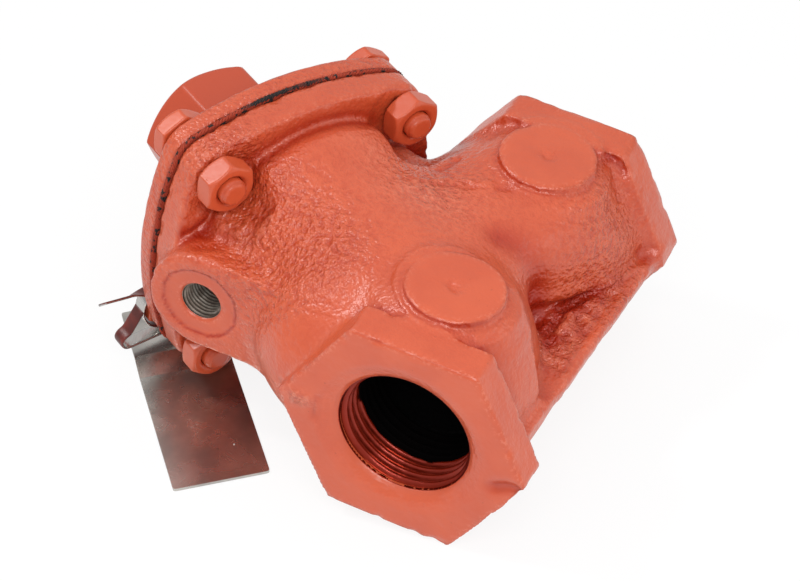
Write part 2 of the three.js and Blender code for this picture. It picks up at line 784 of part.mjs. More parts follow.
leg.add(piece('lock_nut', makeHexNut(adjustNutAcrossFlats, lockNutDistance,
  lockNutDistance + lockNutHeight), stainless));
leg.add(piece('strainer_screen', makeScreen(), stainless));

const rolled = new THREE.Group();
rolled.add(piece('body', makeBody(), paint), leg);

// Roll the trap until it lies on its hexagons and its flange
rolled.updateMatrixWorld(true);
const outline = [];
rolled.traverse((mesh) => {
  if (!['body', 'cover'].includes(mesh.name)) return;
  const place = mesh.geometry.attributes.position;
  for (let i = 0; i < place.count; i += 1) {
    const p = new THREE.Vector3().fromBufferAttribute(place, i).applyMatrix4(mesh.matrixWorld);
    outline.push([p.y, p.z]);
  }
});
const roll = restingRoll(outline, portHexAcrossFlats / 3);
rolled.rotation.x = roll;
rolled.updateMatrixWorld(true);
const lowest = new THREE.Box3().setFromObject(rolled, true).min.z;

// Strap: a band round one bolt head, drawn in the plane of the cover face
const strapDistance = coverFaceDistance + seatGap + boltHeadHeight / 2;
const legToFloor = new THREE.Matrix4().makeRotationX(roll).multiply(alongLeg);

// The leg-plane height (its Y axis points down) of a point that lies this far above the floor
function downAtHeight(across, height) {
  const flat = new THREE.Vector3(across, 0, strapDistance).applyMatrix4(legToFloor);
  const down = new THREE.Vector3(0, 1, 0).transformDirection(legToFloor);
  return (height + lowest - flat.z) / down.z;
}

function band(points) {
  const half = strapThickness / 2;
  const sides = points.map((p, i) => {
    const before = points[Math.max(i - 1, 0)];
    const after = points[Math.min(i + 1, points.length - 1)];
    const run = after.clone().sub(before).normalize();
    return new THREE.Vector2(-run.y, run.x).multiplyScalar(half);
  });
  const left = points.map((p, i) => p.clone().add(sides[i]));
  const right = points.map((p, i) => p.clone().sub(sides[i]));
  return new THREE.Shape([...left, ...right.reverse()]);
}

const wrapRadius = boltHeadAcrossFlats / Math.sqrt(3) + strapHeadClearance + strapThickness / 2;
const wrapX = -boltHalf;
const wrapY = boltHalf;
const foldX = wrapX - strapFoldOut;
const hookX = wrapX + strapHookLength;

function strapRoute() {
  const points = [new THREE.Vector2(wrapX - wrapRadius, wrapY)];
  const low = downAtHeight(foldX, strapRunHeight);
  for (let k = 0; k <= arcSteps; k += 1) {
    const angle = (k * Math.PI) / arcSteps;
    points.push(new THREE.Vector2(
      foldX - strapFoldRadius * Math.sin(angle), low - strapFoldRadius * (1 + Math.cos(angle))));
  }
  const runEnd = [[hookX - 2, 0], [hookX - 0.8, 0.4]];
  runEnd.forEach(([x, drop]) => points.push(new THREE.Vector2(x, downAtHeight(x, strapRunHeight) + drop)));
  const hook = [[hookX + 0.4, 0.4], [hookX + 1.4, 0], [hookX + 1.4 + strapHookLength, 0]];
  hook.forEach(([x, rise]) => points.push(new THREE.Vector2(x, downAtHeight(x, strapHookHeight) - rise)));
  return points;
}

function makeStrap() {
  const low = strapDistance - strapWidth / 2;
  const high = strapDistance + strapWidth / 2;
  const eye = ring(wrapRadius - strapThickness / 2, wrapRadius + strapThickness / 2, low, high, midSides)
    .translate(wrapX, wrapY, 0);
  const tailTurn = bend(strapTailAngleDeg);
  const tailX = wrapX - wrapRadius * Math.cos(tailTurn);
  const tailY = wrapY - wrapRadius * Math.sin(tailTurn);
  const tail = band([
    new THREE.Vector2(tailX, tailY),
    new THREE.Vector2(tailX - strapTailLength, tailY - strapTailRise),
  ]);
  return geometryOf(joined(eye, prism(tail, low, high), prism(band(strapRoute()), low, high)));
}
leg.add(piece('tag_strap', makeStrap(), paint));

// Tag: a flat plate on the floor, its holed end stepped up to clear the strap
function makeTag() {
  const flatEnd = tagHoleFromEnd - tagLength;
  const stepLow = tagHoleFromEnd - tagJogFromEnd - tagJogLength;
  const stepHigh = tagHoleFromEnd - tagJogFromEnd;
  const profile = new THREE.Shape([
    new THREE.Vector2(flatEnd, 0),
    new THREE.Vector2(stepLow, 0),
    new THREE.Vector2(stepHigh, tagLiftAtHole),
    new THREE.Vector2(tagHoleFromEnd, tagLiftAtHole),
    new THREE.Vector2(tagHoleFromEnd, tagLiftAtHole + tagThickness),
    new THREE.Vector2(stepHigh, tagLiftAtHole + tagThickness),
    new THREE.Vector2(stepLow, tagThickness),
    new THREE.Vector2(flatEnd, tagThickness),
  ]);
  const strip = prism(profile, -tagWidth / 2, tagWidth / 2).rotateX(Math.PI / 2);
  const corners = [[flatEnd, -1], [tagHoleFromEnd, -1], [tagHoleFromEnd, 1], [flatEnd, 1]]
    .map(([x, side]) => new THREE.Vector2(x, (side * tagWidth) / 2));
  const trim = prism(roundedPolygon(corners, tagCornerRadius, 3), -1, 2 * tagLiftAtHole);
  const hole = rod(tagHoleRadius, -1, 2 * tagLiftAtHole, midSides);
  return geometryOf(cut(solid(strip).intersect(solid(trim)), hole));
}

const hole = new THREE.Vector3(hookX, downAtHeight(hookX, tagLiftAtHole), strapDistance)
  .applyMatrix4(legToFloor);
const tag = piece('tag', makeTag(), mirrorSteel, hole.x, hole.y);
tag.rotation.z = bend(tagYawDeg);

// The finished part stands on z = 0, centred on its box
rolled.position.z = -lowest;
const trap = new THREE.Group();
trap.add(rolled, tag);
trap.updateMatrixWorld(true);
const box = new THREE.Box3().setFromObject(trap, true);
trap.position.set(-(box.min.x + box.max.x) / 2, -(box.min.y + box.max.y) / 2, 0);

export default trap;
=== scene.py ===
"""Looks of the lying steam trap: a red-primed casting with its cover, cap, fasteners, gasket, strap and tag.

Shapes are worked out in millimetres in two frames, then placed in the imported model's metres:
the pipe frame (origin where the chamber's axis crosses the pipe's, X from outlet to inlet, Z up through
the pads) and the leg frame (X across the chamber, Y down, Z out along the chamber towards the cover).
"""

import json
import math

import bpy
import numpy as np
from mathutils import Matrix, Vector


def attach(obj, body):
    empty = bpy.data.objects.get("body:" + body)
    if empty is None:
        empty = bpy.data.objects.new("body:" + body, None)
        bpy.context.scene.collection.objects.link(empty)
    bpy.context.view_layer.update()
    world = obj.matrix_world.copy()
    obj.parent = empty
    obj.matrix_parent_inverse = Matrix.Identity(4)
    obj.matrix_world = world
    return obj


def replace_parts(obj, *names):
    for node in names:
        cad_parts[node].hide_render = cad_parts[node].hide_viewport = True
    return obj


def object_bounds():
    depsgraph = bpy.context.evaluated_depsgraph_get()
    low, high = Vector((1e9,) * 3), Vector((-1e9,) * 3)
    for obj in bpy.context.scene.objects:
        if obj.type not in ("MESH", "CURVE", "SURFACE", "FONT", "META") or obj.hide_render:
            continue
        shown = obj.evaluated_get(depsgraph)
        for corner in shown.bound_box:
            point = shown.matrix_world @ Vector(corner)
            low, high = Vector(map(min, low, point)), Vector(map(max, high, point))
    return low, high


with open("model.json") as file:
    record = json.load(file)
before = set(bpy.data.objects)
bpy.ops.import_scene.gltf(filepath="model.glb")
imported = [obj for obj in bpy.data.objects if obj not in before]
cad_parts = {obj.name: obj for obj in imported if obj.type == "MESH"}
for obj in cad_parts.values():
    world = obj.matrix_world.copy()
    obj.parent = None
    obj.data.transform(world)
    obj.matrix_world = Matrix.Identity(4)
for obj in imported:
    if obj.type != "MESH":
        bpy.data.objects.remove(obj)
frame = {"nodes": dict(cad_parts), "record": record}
cad_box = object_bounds()
link = bpy.context.scene.collection.objects.link

METRE = 1000
MM = 1 / METRE

# Sizes of the casting in millimetres, the driving ones as in the solids
OUTLET_X = -22.7
INLET_X = 70.3
HEX_FLATS = 50.8
HEX_DEPTH = 9.2
LEAN = math.radians(30.7)
PIPE_UNDER_FACE = 21
FLANGE_BACK = 55.9
FLANGE_THICK = 7.6
FLANGE_FACE = FLANGE_BACK + FLANGE_THICK
FLANGE_HALF = 35.0
FLANGE_SIDE_RADIUS = 81.0
FLANGE_CORNER_RADIUS = 7.6
FLANGE_CORNER_CENTRE = 23.53
BARREL_RADIUS = 21.2
LOBE_FROM = 9
LOBE_LENGTH = 27
LOBE_RADIUS = 26.2
NECK_ALONG = [9, 24, 39.8, 42.5, 45.3, 48, 50.8, 53.4, 56]
NECK_RADII = [26.2, 26.7, 27.6, 28.0, 29.0, 30.0, 30.4, 30.1, 29.3]
INLET_WALL = 4.6
# The inlet pipe's runs in the pipe plane: start, end, their radii, and the fillet to the runs before
INLET_MOUTH = ((70, 0), (41.8, 0), 23.8, 23.4)
INLET_BENDS = [((41.8, 0), (24.5, 5.4), 23.4, 22.8, 4), ((24.5, 5.4), (2, 21), 22.8, 22.4, 4),
               ((60, 2.6), (26, 16.3), 23.2, 23.2, 3)]
BOSS_X = OUTLET_X + 15.7
BOSS_Y = 56.3
BOSS_RADIUS = 12.6
BOSS_LENGTH = 22
SPOT_FACE_RADIUS = 8.8
SPOT_FACE_DEPTH = 0.5
PLUG_MOUTH = 5.5
PLUG_BORE = 4.7
PLUG_DEPTH = 24
PADS = [(OUTLET_X + 21.7, 27.7), (OUTLET_X + 74.1, 26.6)]
PAD_RADIUS = 11.2
PAD_DEPTH = 6
PLINTH_RADIUS = 12
PLINTH_DROP = 2.2
PLINTH_FLARE = ([0, 1.9, 7], [0, 2.5, 4.2])
PLINTH_FILLETS = (6, 2)
PLINTH_FOOT = 12
DIMPLE_RADIUS = 2.3
DIMPLE_UP = 1.6
WEB_HALF = 2.2
WEB_INSET = 4.6
WEB_EDGE_Y = -23.6
WEB_EDGE_FALL = 3.8
WEB_LENGTH = INLET_X - OUTLET_X - 2 * WEB_INSET
POCKET_RADIUS = 8.4
POCKET_DEPTH = 11.2
BOLT_HOLE_RADIUS = 3.5

# The hollows in the casting
PORT_DISH = ([0, 1.3, 2.4], [19.8, 16.6, 15.4])
PORT_DEPTH = 21
ROOM_ALONG = 2
ROOM_RADIUS = 15
PASSAGE_IN = 20
PASSAGE_LENGTH = 34
PASSAGE_ANGLE = math.radians(52)
PASSAGE_RADII = (10, 9)
CHAMBER_RADIUS = 20.4
CHAMBER_FLOOR = 25
SEAT_RADIUS = 7.4
SEAT_FROM = 12

# Cover, cap, fasteners and strap
COVER_LOW = 64.9
COVER_FACE = 69.7
COVER_BOSS = 77.9
COVER_BOSS_RADIUS = 17.5
COVER_DOME_RADIUS = 23.5
COVER_SPIGOT_RADIUS = 20.1
COVER_BORE_RADIUS = 10.2
CAP_LOW = 79.2
CAP_LENGTH = 20.3
CAP_FLATS = 28.8
CAP_TURN = math.radians(2)
CAP_SPIGOT_RADIUS = 9.9
CAP_SPIGOT_LENGTH = 12
CAP_BORE_RADIUS = 6.9
CAP_CROWN = 5
BOLT_HALF = 24.9
BOLT_RADIUS = 3.2
BOLT_END_RADIUS = 2.9
BOLT_HEAD_FLATS = 11.3
BOLT_HEAD_LOW = COVER_FACE + 0.2
BOLT_HEAD_HEIGHT = 4.0
BOLT_END = 48.5
CHAMFER = (0.6, 0.8)
BOLTS = [(u, v) for v in (-BOLT_HALF, BOLT_HALF) for u in (-BOLT_HALF, BOLT_HALF)]
NUT_FLATS = 11.4
NUT_HIGH = 55.7
NUT_HEIGHT = 5.4
NUT_BORE_RADIUS = 3.4
NUT_COUNTERSINK = 0.7
GASKET_EDGE = FLANGE_FACE + 0.7
STRAP_AT = BOLT_HEAD_LOW + BOLT_HEAD_HEIGHT / 2
STRAP_WIDTH = 3.6
STRAP_THICK = 0.6
STRAP_SIDES = 16
WRAP_RADIUS = BOLT_HEAD_FLATS / math.sqrt(3) + 0.6
FOLD_OUT = 10.4
FOLD_RADIUS = 2
RUN_HEIGHT = 5.3
HOOK_HEIGHT = 0.9
HOOK_OUT = 3.4
TAIL_TURN = math.radians(38)
TAIL_LENGTH = 12
TAIL_RISE = 1.3

# Tapped threads: an inch holds 11.5 turns of the pipe thread and 27 of the plug thread
THREAD_TAPER = 1 / 32
PIPE_THREAD = {"mouth": 2.3, "depth": 20, "root": 15.5, "crest": 14.35, "pitch": 25.4 / 11.5, "back": 15.9}
PLUG_THREAD = {"mouth": 1.2, "depth": 15, "root": 4.75, "crest": 4.2, "pitch": 25.4 / 27, "back": 4.95}
# Where the paint stops, counted from a thread's mouth
PAINT_REACH = (8.3, 8.5)

# Frames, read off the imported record's mounts
mounts = {m["name"]: m for m in frame["record"]["mounts"]}
up = Vector(mounts["outlet_pad"]["axis"])
pipe_x = Vector((1, 0, 0))
pipe_y = up.cross(pipe_x)
outlet_face = Vector(mounts["outlet_face"]["pos_m"])
crossing = outlet_face - up * (PIPE_UNDER_FACE * MM) - pipe_x * OUTLET_X * MM
pipe_axes = Matrix((pipe_x, pipe_y, up)).transposed().to_4x4()
PIPE = Matrix.Translation(crossing) @ pipe_axes @ Matrix.Scale(MM, 4)
COS = math.cos(LEAN)
SIN = math.sin(LEAN)
LEG_IN_PIPE = Matrix(((COS, 0, SIN), (-SIN, 0, COS), (0, -1, 0))).to_4x4()
LEG = PIPE @ LEG_IN_PIPE


# Distance fields: negative inside, in millimetres

def both(a, b, fillet):
    """Two shapes joined, with a fillet about that wide where they meet."""
    near = np.maximum(fillet - np.abs(a - b), 0) / fillet
    return np.minimum(a, b) - near * near * fillet / 4


def cut_away(a, b, fillet):
    """The first shape without the second, with a rounded rim."""
    return -both(-a, b, fillet)


def shared(a, b, fillet):
    """Where both shapes are, with a rounded edge."""
    return -both(-a, -b, fillet)


def between(value, low, high):
    """A slab from low to high."""
    return np.abs(value - (low + high) / 2) - (high - low) / 2


def hexagon(a, b, flats, rounding):
    """An endless hexagonal bar with corners on plus and minus a."""
    slant = np.abs(a) * math.cos(math.pi / 6) + np.abs(b) * 0.5
    return shared(np.abs(b), slant, rounding) - flats / 2


def turned(a, b, angle):
    """The same point seen from axes turned by an angle."""
    cos = math.cos(angle)
    sin = math.sin(angle)
    return a * cos + b * sin, b * cos - a * sin


def along_line(x, y, z, start, end, start_radius, end_radius):
    """A straight pipe in the pipe plane with round ends."""
    run = np.array(end) - np.array(start)
    length = float(np.hypot(*run))
    run = run / length
    t = np.clip((x - start[0]) * run[0] + (y - start[1]) * run[1], 0, length)
    radius = start_radius + (end_radius - start_radius) * t / length
    return np.sqrt((x - start[0] - run[0] * t) ** 2 + (y - start[1] - run[1] * t) ** 2 + z * z) - radius


def flange_outline(u, v):
    """The square with bulging side arcs that run into corner arcs."""
    a = np.maximum(np.abs(u), np.abs(v))
    b = np.minimum(np.abs(u), np.abs(v))
    centre = FLANGE_HALF - FLANGE_SIDE_RADIUS
    corner = FLANGE_CORNER_CENTRE
    side_arc = np.hypot(a - centre, b) - FLANGE_SIDE_RADIUS
    corner_arc = np.hypot(a - corner, b - corner) - FLANGE_CORNER_RADIUS
    return np.where(b * (corner - centre) > (a - centre) * corner, corner_arc, side_arc)


def ramp(value, low, high):
    """0 below low, 1 above high, smooth from one to the other."""
    t = np.clip((value - low) / (high - low), 0, 1)
    return t * t * (3 - 2 * t)


def lumps(points, size, seed):
    """Random smooth bumps between about -1 and 1, about size apart."""
    draws = np.random.default_rng(seed)
    order = draws.permutation(256)
    heights = draws.uniform(-1.3, 1.3, 256)
    spot = points / size
    low = np.floor(spot).astype(int)
    part = spot - low
    ease = part * part * (3 - 2 * part)
    total = np.zeros(len(points))
    for corner in range(8):
        bit = np.array([(corner >> k) & 1 for k in range(3)])
        at = (low + bit) & 255
        key = order[(order[(order[at[:, 0]] + at[:, 1]) & 255] + at[:, 2]) & 255]
        weight = np.prod(np.where(bit, ease, 1 - ease), axis=1)
        total += heights[key] * weight
    return total


def from_line(points, line):
    """Distance of each point from a broken line."""
    best = np.full(len(points), 1e9)
    for start, end in zip(line[:-1], line[1:]):
        run = np.subtract(end, start)
        t = np.clip((points - start) @ run / (run @ run), 0, 1)
        best = np.minimum(best, np.linalg.norm(points - start - t[:, None] * run, axis=1))
    return best


def slope_at(field, points):
    """Signed distance to the surface and its direction, at each point."""
    nudge = 0.05
    least_slope = 0.3
    here = field(*points.T)
    ways = np.eye(3) * nudge
    slope = np.stack([field(*(points + d).T) - field(*(points - d).T) for d in ways], 1) / (2 * nudge)
    size = np.maximum(np.linalg.norm(slope, axis=1), least_slope)
    return here / size, slope / size[:, None]


def surface_net(field, low, high, step):
    """Points, quads and normals of the surface where the field is zero."""
    axes = [np.arange(a, b + step, step) for a, b in zip(low, high)]
    grid = np.meshgrid(*axes, indexing="ij", sparse=True)
    values = field(*grid)
    strides = np.array([values.shape[1] * values.shape[2], values.shape[2], 1])
    inside = values < 0
    unit = np.eye(3, dtype=int)
    cells, places, quads = [], [], []
    for axis in range(3):
        near = tuple(slice(None, -1) if k == axis else slice(1, -1) for k in range(3))
        far = tuple(slice(1, None) if k == axis else slice(1, -1) for k in range(3))
        spot = np.argwhere(inside[near] != inside[far])
        spot[:, [k for k in range(3) if k != axis]] += 1
        a = values[tuple(spot.T)]
        b = values[tuple((spot + unit[axis]).T)]
        place = spot + unit[axis] * (a / (a - b))[:, None]
        side = unit[(axis + 1) % 3]
        other = unit[(axis + 2) % 3]
        around = [(spot - p * side - q * other) @ strides for p, q in ((0, 0), (1, 0), (1, 1), (0, 1))]
        cells += around
        places += [place] * 4
        quads.append(np.where((a < 0)[:, None], np.stack(around, 1), np.stack(around[::-1], 1)))
    used, where = np.unique(np.concatenate(cells), return_inverse=True)
    where = where.ravel()
    places = np.concatenate(places)
    count = np.bincount(where)
    points = np.stack([np.bincount(where, places[:, k]) / count for k in range(3)], 1)
    points = points * step + np.array([a[0] for a in axes])
    faces = np.searchsorted(used, np.concatenate(quads))
    for _ in range(2):
        here, normals = slope_at(field, points)
        points = points - normals * np.clip(here, -step / 2, step / 2)[:, None]
    return points, faces, slope_at(field, points)[1]


# Pieces

def make_piece(name, points, faces, place, body, finish, marks):
    """A mesh from points in millimetres, riding on a body, with a finish and named marks for it."""
    matrix = np.array(place)
    points = np.clip(points @ matrix[:3, :3].T + matrix[:3, 3], *cad_box)
    mesh = bpy.data.meshes.new(name)
    mesh.vertices.add(len(points))
    mesh.vertices.foreach_set("co", points.ravel())
    mesh.loops.add(faces.size)
    mesh.loops.foreach_set("vertex_index", faces.ravel())
    mesh.polygons.add(len(faces))
    mesh.polygons.foreach_set("loop_start", np.arange(len(faces)) * faces.shape[1])
    mesh.polygons.foreach_set("use_smooth", [True] * len(faces))
    for mark, values in marks.items():
        layer = mesh.attributes.new(mark, "FLOAT", "POINT")
        layer.data.foreach_set("value", np.asarray(values, np.float32))
    mesh.update()
    mesh.validate()
    mesh.materials.append(finish)
    piece = bpy.data.objects.new(name, mesh)
    link(piece)
    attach(piece, body)
    return piece


def ring_quads(rows, columns, closed_rows=True):
    """Quads over rings of points, kept ring by ring."""
    r = np.arange(rows if closed_rows else rows - 1)
    r, c = [a.ravel() for a in np.meshgrid(r, np.arange(columns), indexing="ij")]
    r2 = (r + 1) % rows
    c2 = (c + 1) % columns
    return np.stack([r * columns + c, r * columns + c2, r2 * columns + c2, r2 * columns + c], 1)


def tube(route, radius, sides=6):
    """Points and quads of a closed strand along a closed route."""
    along = np.roll(route, -1, axis=0) - np.roll(route, 1, axis=0)
    along /= np.linalg.norm(along, axis=1)[:, None]
    side = np.cross(along, (0, 0, 1))
    side /= np.linalg.norm(side, axis=1)[:, None]
    other = np.cross(along, side)
    angle = np.arange(sides) * 2 * math.pi / sides
    out = side[:, None] * np.cos(angle)[:, None] + other[:, None] * np.sin(angle)[:, None]
    return (route[:, None] + out * radius).reshape(-1, 3), ring_quads(len(route), sides)


def ribbon(route, across, steps=60):
    """Points, quads and an outer-face mark of the band along a route, its width lying across."""
    route = np.array(route, float)
    across = np.array(across, float)
    length = np.concatenate([[0], np.cumsum(np.linalg.norm(np.diff(route, axis=0), axis=1))])
    spot = np.linspace(0, length[-1], steps)
    route = np.stack([np.interp(spot, length, route[:, k]) for k in range(3)], 1)
    across = np.stack([np.interp(spot, length, across[:, k]) for k in range(3)], 1)
    for _ in range(2):
        route[1:-1] = (route[:-2] + 2 * route[1:-1] + route[2:]) / 4
    along = np.gradient(route, axis=0)
    along /= np.linalg.norm(along, axis=1)[:, None]
    across -= along * np.sum(across * along, axis=1)[:, None]
    across /= np.linalg.norm(across, axis=1)[:, None]
    normal = np.cross(along, across)
    angle = (np.arange(STRAP_SIDES) + 0.5) * 2 * math.pi / STRAP_SIDES
    wide = np.sign(np.cos(angle)) * np.abs(np.cos(angle)) ** 0.3 * STRAP_WIDTH / 2
    thick = np.sign(np.sin(angle)) * np.abs(np.sin(angle)) ** 0.5 * STRAP_THICK / 2
    rings = route[:, None] + across[:, None] * wide[:, None] + normal[:, None] * thick[:, None]
    ends = np.repeat(route[[0, -1], None], STRAP_SIDES, 1)
    rings = np.concatenate([ends[:1], rings, ends[1:]])
    outer = np.tile(np.where(thick > 0, 1.0, 0.0), len(rings))
    return rings.reshape(-1, 3), ring_quads(len(rings), STRAP_SIDES, closed_rows=False), outer


# Finishes

class Wire:
    """An output socket of a finish, for arithmetic on it."""

    def __init__(self, finish, socket):
        self.finish = finish
        self.socket = socket

    def math(self, operation, *others, **settings):
        return self.finish.node("ShaderNodeMath", [self, *others], operation=operation, **settings)

    def __add__(self, other):
        return self.math("ADD", other)

    def __sub__(self, other):
        return self.math("SUBTRACT", other)

    def __mul__(self, other):
        return self.math("MULTIPLY", other)

    def __rsub__(self, other):
        return self.finish.node("ShaderNodeMath", [other, self], operation="SUBTRACT")

    __radd__ = __add__
    __rmul__ = __mul__

    def held(self):
        """Kept from 0 to 1."""
        return self.math("ADD", 0.0, use_clamp=True)

    def between(self, low, high):
        """0 below low, 1 above high, smooth from one to the other."""
        ends = {"Value": self, "From Min": low, "From Max": high}
        return self.finish.node("ShaderNodeMapRange", ends, interpolation_type="SMOOTHSTEP")


class Finish:
    """A material built from expressions, with one principled shader."""

    def __init__(self, name, **constants):
        self.material = bpy.data.materials.new(name)
        self.material.use_nodes = True
        self.tree = self.material.node_tree
        self.shader = self.tree.nodes["Principled BSDF"]
        for socket, value in constants.items():
            self.shader.inputs[socket.replace("_", " ")].default_value = value
        self.place = self.node("ShaderNodeTexCoord", output="Object")

    def node(self, kind, values=(), output=0, **settings):
        node = self.tree.nodes.new(kind)
        for name, value in settings.items():
            setattr(node, name, value)
        for key, value in values.items() if isinstance(values, dict) else enumerate(values):
            self.feed(node.inputs[key], value)
        return Wire(self, node.outputs[output])

    def feed(self, socket, value):
        if isinstance(value, Wire):
            self.tree.links.new(value.socket, socket)
        elif isinstance(value, tuple) and len(value) == 3 and socket.type == "RGBA":
            socket.default_value = (*value, 1)
        else:
            socket.default_value = value

    def mark(self, name):
        """A number kept at each point of a piece."""
        return self.node("ShaderNodeAttribute", output="Fac", attribute_name=name)

    def grain(self, size, detail=2.0, rough=0.5, place=None):
        """Noise from 0 to 1 with bumps about size millimetres apart."""
        values = {"Vector": place or self.place, "Scale": METRE / size, "Detail": detail, "Roughness": rough}
        return self.node("ShaderNodeTexNoise", values)

    def mix(self, factor, a, b):
        """One colour into another as factor goes from 0 to 1."""
        return self.node("ShaderNodeMix", {0: factor, 6: a, 7: b}, output=2, data_type="RGBA")

    def stretched(self, direction, amount):
        """Places drawn out along a direction, for scratches."""
        turn = Vector(direction).to_track_quat("X", "Z").to_euler()
        place = {"Vector": self.place, "Rotation": turn}
        place = self.node("ShaderNodeVectorRotate", place, rotation_type="EULER_XYZ", invert=True)
        return self.node("ShaderNodeVectorMath", {0: place, 1: (1 / amount, 1, 1)}, operation="MULTIPLY")

    def bump(self, height, strength=1.0):
        """Height in millimetres."""
        normal = self.node("ShaderNodeBump", {"Height": height, "Distance": MM, "Strength": strength})
        self.feed(self.shader.inputs["Normal"], normal)

    def colour(self, value):
        self.feed(self.shader.inputs["Base Color"], value)

    def roughness(self, value):
        self.feed(self.shader.inputs["Roughness"], value)

    def metallic(self, value):
        self.feed(self.shader.inputs["Metallic"], value)


PRIMER = (0.585, 0.092, 0.032)
# A darker primer for random drift, and for the painted shade on the cap
PRIMER_SHADE = (0.49, 0.064, 0.022)
# Darker primers: painted shade for corners, grooves, grain hollows and threads
PRIMER_IN_SHADE = (0.37, 0.018, 0.002)
PRIMER_DEEPEST_SHADE = (0.15, 0.012, 0.004)
# Light dusty primer, also used as a painted sheen on the saddle and worn edges
PRIMER_DUST_AND_SHEEN = (0.70, 0.21, 0.13)
PRIMER_SPECK = (0.14, 0.018, 0.008)
FORGING_SPECK = (0.16, 0.02, 0.01)
CUT_IRON = (0.46, 0.41, 0.35)
STAINED_IRON = (0.26, 0.21, 0.17)
# painted shade in the grooves of bare threads
IRON_GROOVE_SHADE = (0.035, 0.020, 0.014)
FIBRE_DARK = (0.008, 0.007, 0.008)
FIBRE_GREY = (0.040, 0.030, 0.028)
FIBRE_PAINTED = (0.36, 0.045, 0.020)
SHEET_BRIGHT = (0.62, 0.59, 0.55)
SHEET_SMEARED = (0.36, 0.345, 0.325)
# primer on the strap, painted dark red for the shade under the flange
STRAP_PAINT_SHADED_THIN = (0.085, 0.010, 0.007)
STRAP_PAINT_SHADED_THICK = (0.16, 0.018, 0.011)
STRAP_STEEL_DARK = (0.42, 0.40, 0.38)
STRAP_STEEL_LIGHT = (0.60, 0.58, 0.56)
SCREEN_LIGHT = (0.50, 0.49, 0.47)
SCREEN_STAINED = (0.36, 0.33, 0.30)
BLACK = (0.005, 0.004, 0.004)
# How much painted shade a thread's crest gets, and how much more its groove gets
THREAD_SHADE = 1.35
GROOVE_SHADE_MORE = 0.35


def cast_primer():
    """Primer over sand casting: leathery grain, painted shade in dark red in corners and grain hollows, a
    light dust on crust and edges that is partly a painted sheen, bare dark metal inside painted black for
    its shade.
    """
    f = Finish("red_primer_cast", Specular_IOR_Level=0.66)
    cast, deep, pool = f.mark("cast"), f.mark("deep"), f.mark("pool")
    crust, edge = f.mark("crust"), f.mark("edge")
    coarse = f.grain(2.4, 3)
    leather = f.grain(1.35, 1, 0.5)
    fine = f.grain(0.7, 1, 0.5)
    drift = f.grain(14, 3)
    pits = f.grain(1.5, 1).between(0.64, 0.72)
    wave = f.grain(4.5, 2)
    height = cast * (leather * 0.95 + fine * 0.42 + coarse * crust * 1.2 - pits * crust * 0.8) + fine * 0.03
    height = height + wave * (1 - cast) * 0.35
    f.bump(height - edge * f.grain(0.7, 3) * 0.15)
    paint = f.mix(drift.between(0.35, 0.65) * 0.4, PRIMER, PRIMER_SHADE)
    # dust on crusty paint and worn edges, partly a painted sheen where the saddle and edges catch light
    dust_and_sheen = (crust * (0.5 + leather.between(0.5, 0.72) * 0.5) + edge * fine.between(0.5, 0.66) * 0.8).held()
    paint = f.mix(dust_and_sheen, paint, PRIMER_DUST_AND_SHEEN)
    # painted shade: dark red where the surface is closed in, darkest in the threads
    paint = f.mix((pool * 1.15).held(), paint, PRIMER_IN_SHADE)
    paint = f.mix((pool - 1).held(), paint, PRIMER_DEEPEST_SHADE)
    # painted shade: the low parts of the grain darkened
    paint = f.mix(cast * (1 - leather.between(0.36, 0.56)) * 0.45, paint, PRIMER_IN_SHADE)
    # painted shade: the cap's paint darkened where less light reaches it
    paint = f.mix(f.mark("dull") * 0.9, paint, PRIMER_SHADE)
    speck = f.grain(1.1, 1).between(0.76, 0.80) * (1 - cast * 0.5)
    paint = f.mix(speck * 0.22, paint, PRIMER_SPECK)
    # bare metal inside the bores, painted black for the shade there
    f.colour(f.mix(deep, paint, BLACK))
    # painted shade: metallic in the bores and hollows keeps white sheen out of their shade
    f.metallic((deep * 0.85 + pool * 0.12 + (pool - 1.1).held() * 1.2).held())
    f.roughness((0.28 + fine * 0.08 + deep * 0.5 + crust * 0.10).held())
    return f.material


def smooth_primer():
    """Primer over machined or forged steel: smooth, slightly wavy, thin on edges and lightened there partly
    as a painted sheen, with painted shade in corners and, where marked, over the whole piece.
    """
    f = Finish("red_primer_smooth", Specular_IOR_Level=0.46)
    wave = f.grain(3.2, 2)
    fine = f.grain(0.6, 2)
    drift = f.grain(9, 2)
    speck = f.grain(0.8, 1).between(0.74, 0.80)
    f.bump(wave * 0.07 + fine * 0.014 - speck * 0.03, 0.8)
    paint = f.mix(drift.between(0.35, 0.65) * 0.4, PRIMER, PRIMER_SHADE)
    edge, pool = f.mark("edge"), f.mark("pool")
    # worn edges lightened, partly a painted sheen
    paint = f.mix((edge * fine.between(0.35, 0.6) * 0.5).held(), paint, PRIMER_DUST_AND_SHEEN)
    # painted shade: dark red in corners
    paint = f.mix((pool * 1.1).held(), paint, PRIMER_IN_SHADE)
    # painted shade: the cap's paint darkened where less light reaches it
    paint = f.mix(f.mark("dull") * 0.9, paint, PRIMER_SHADE)
    f.colour(f.mix(speck * 0.35, paint, FORGING_SPECK))
    f.roughness((0.25 + fine * 0.12 + speck * 0.2).held())
    return f.material


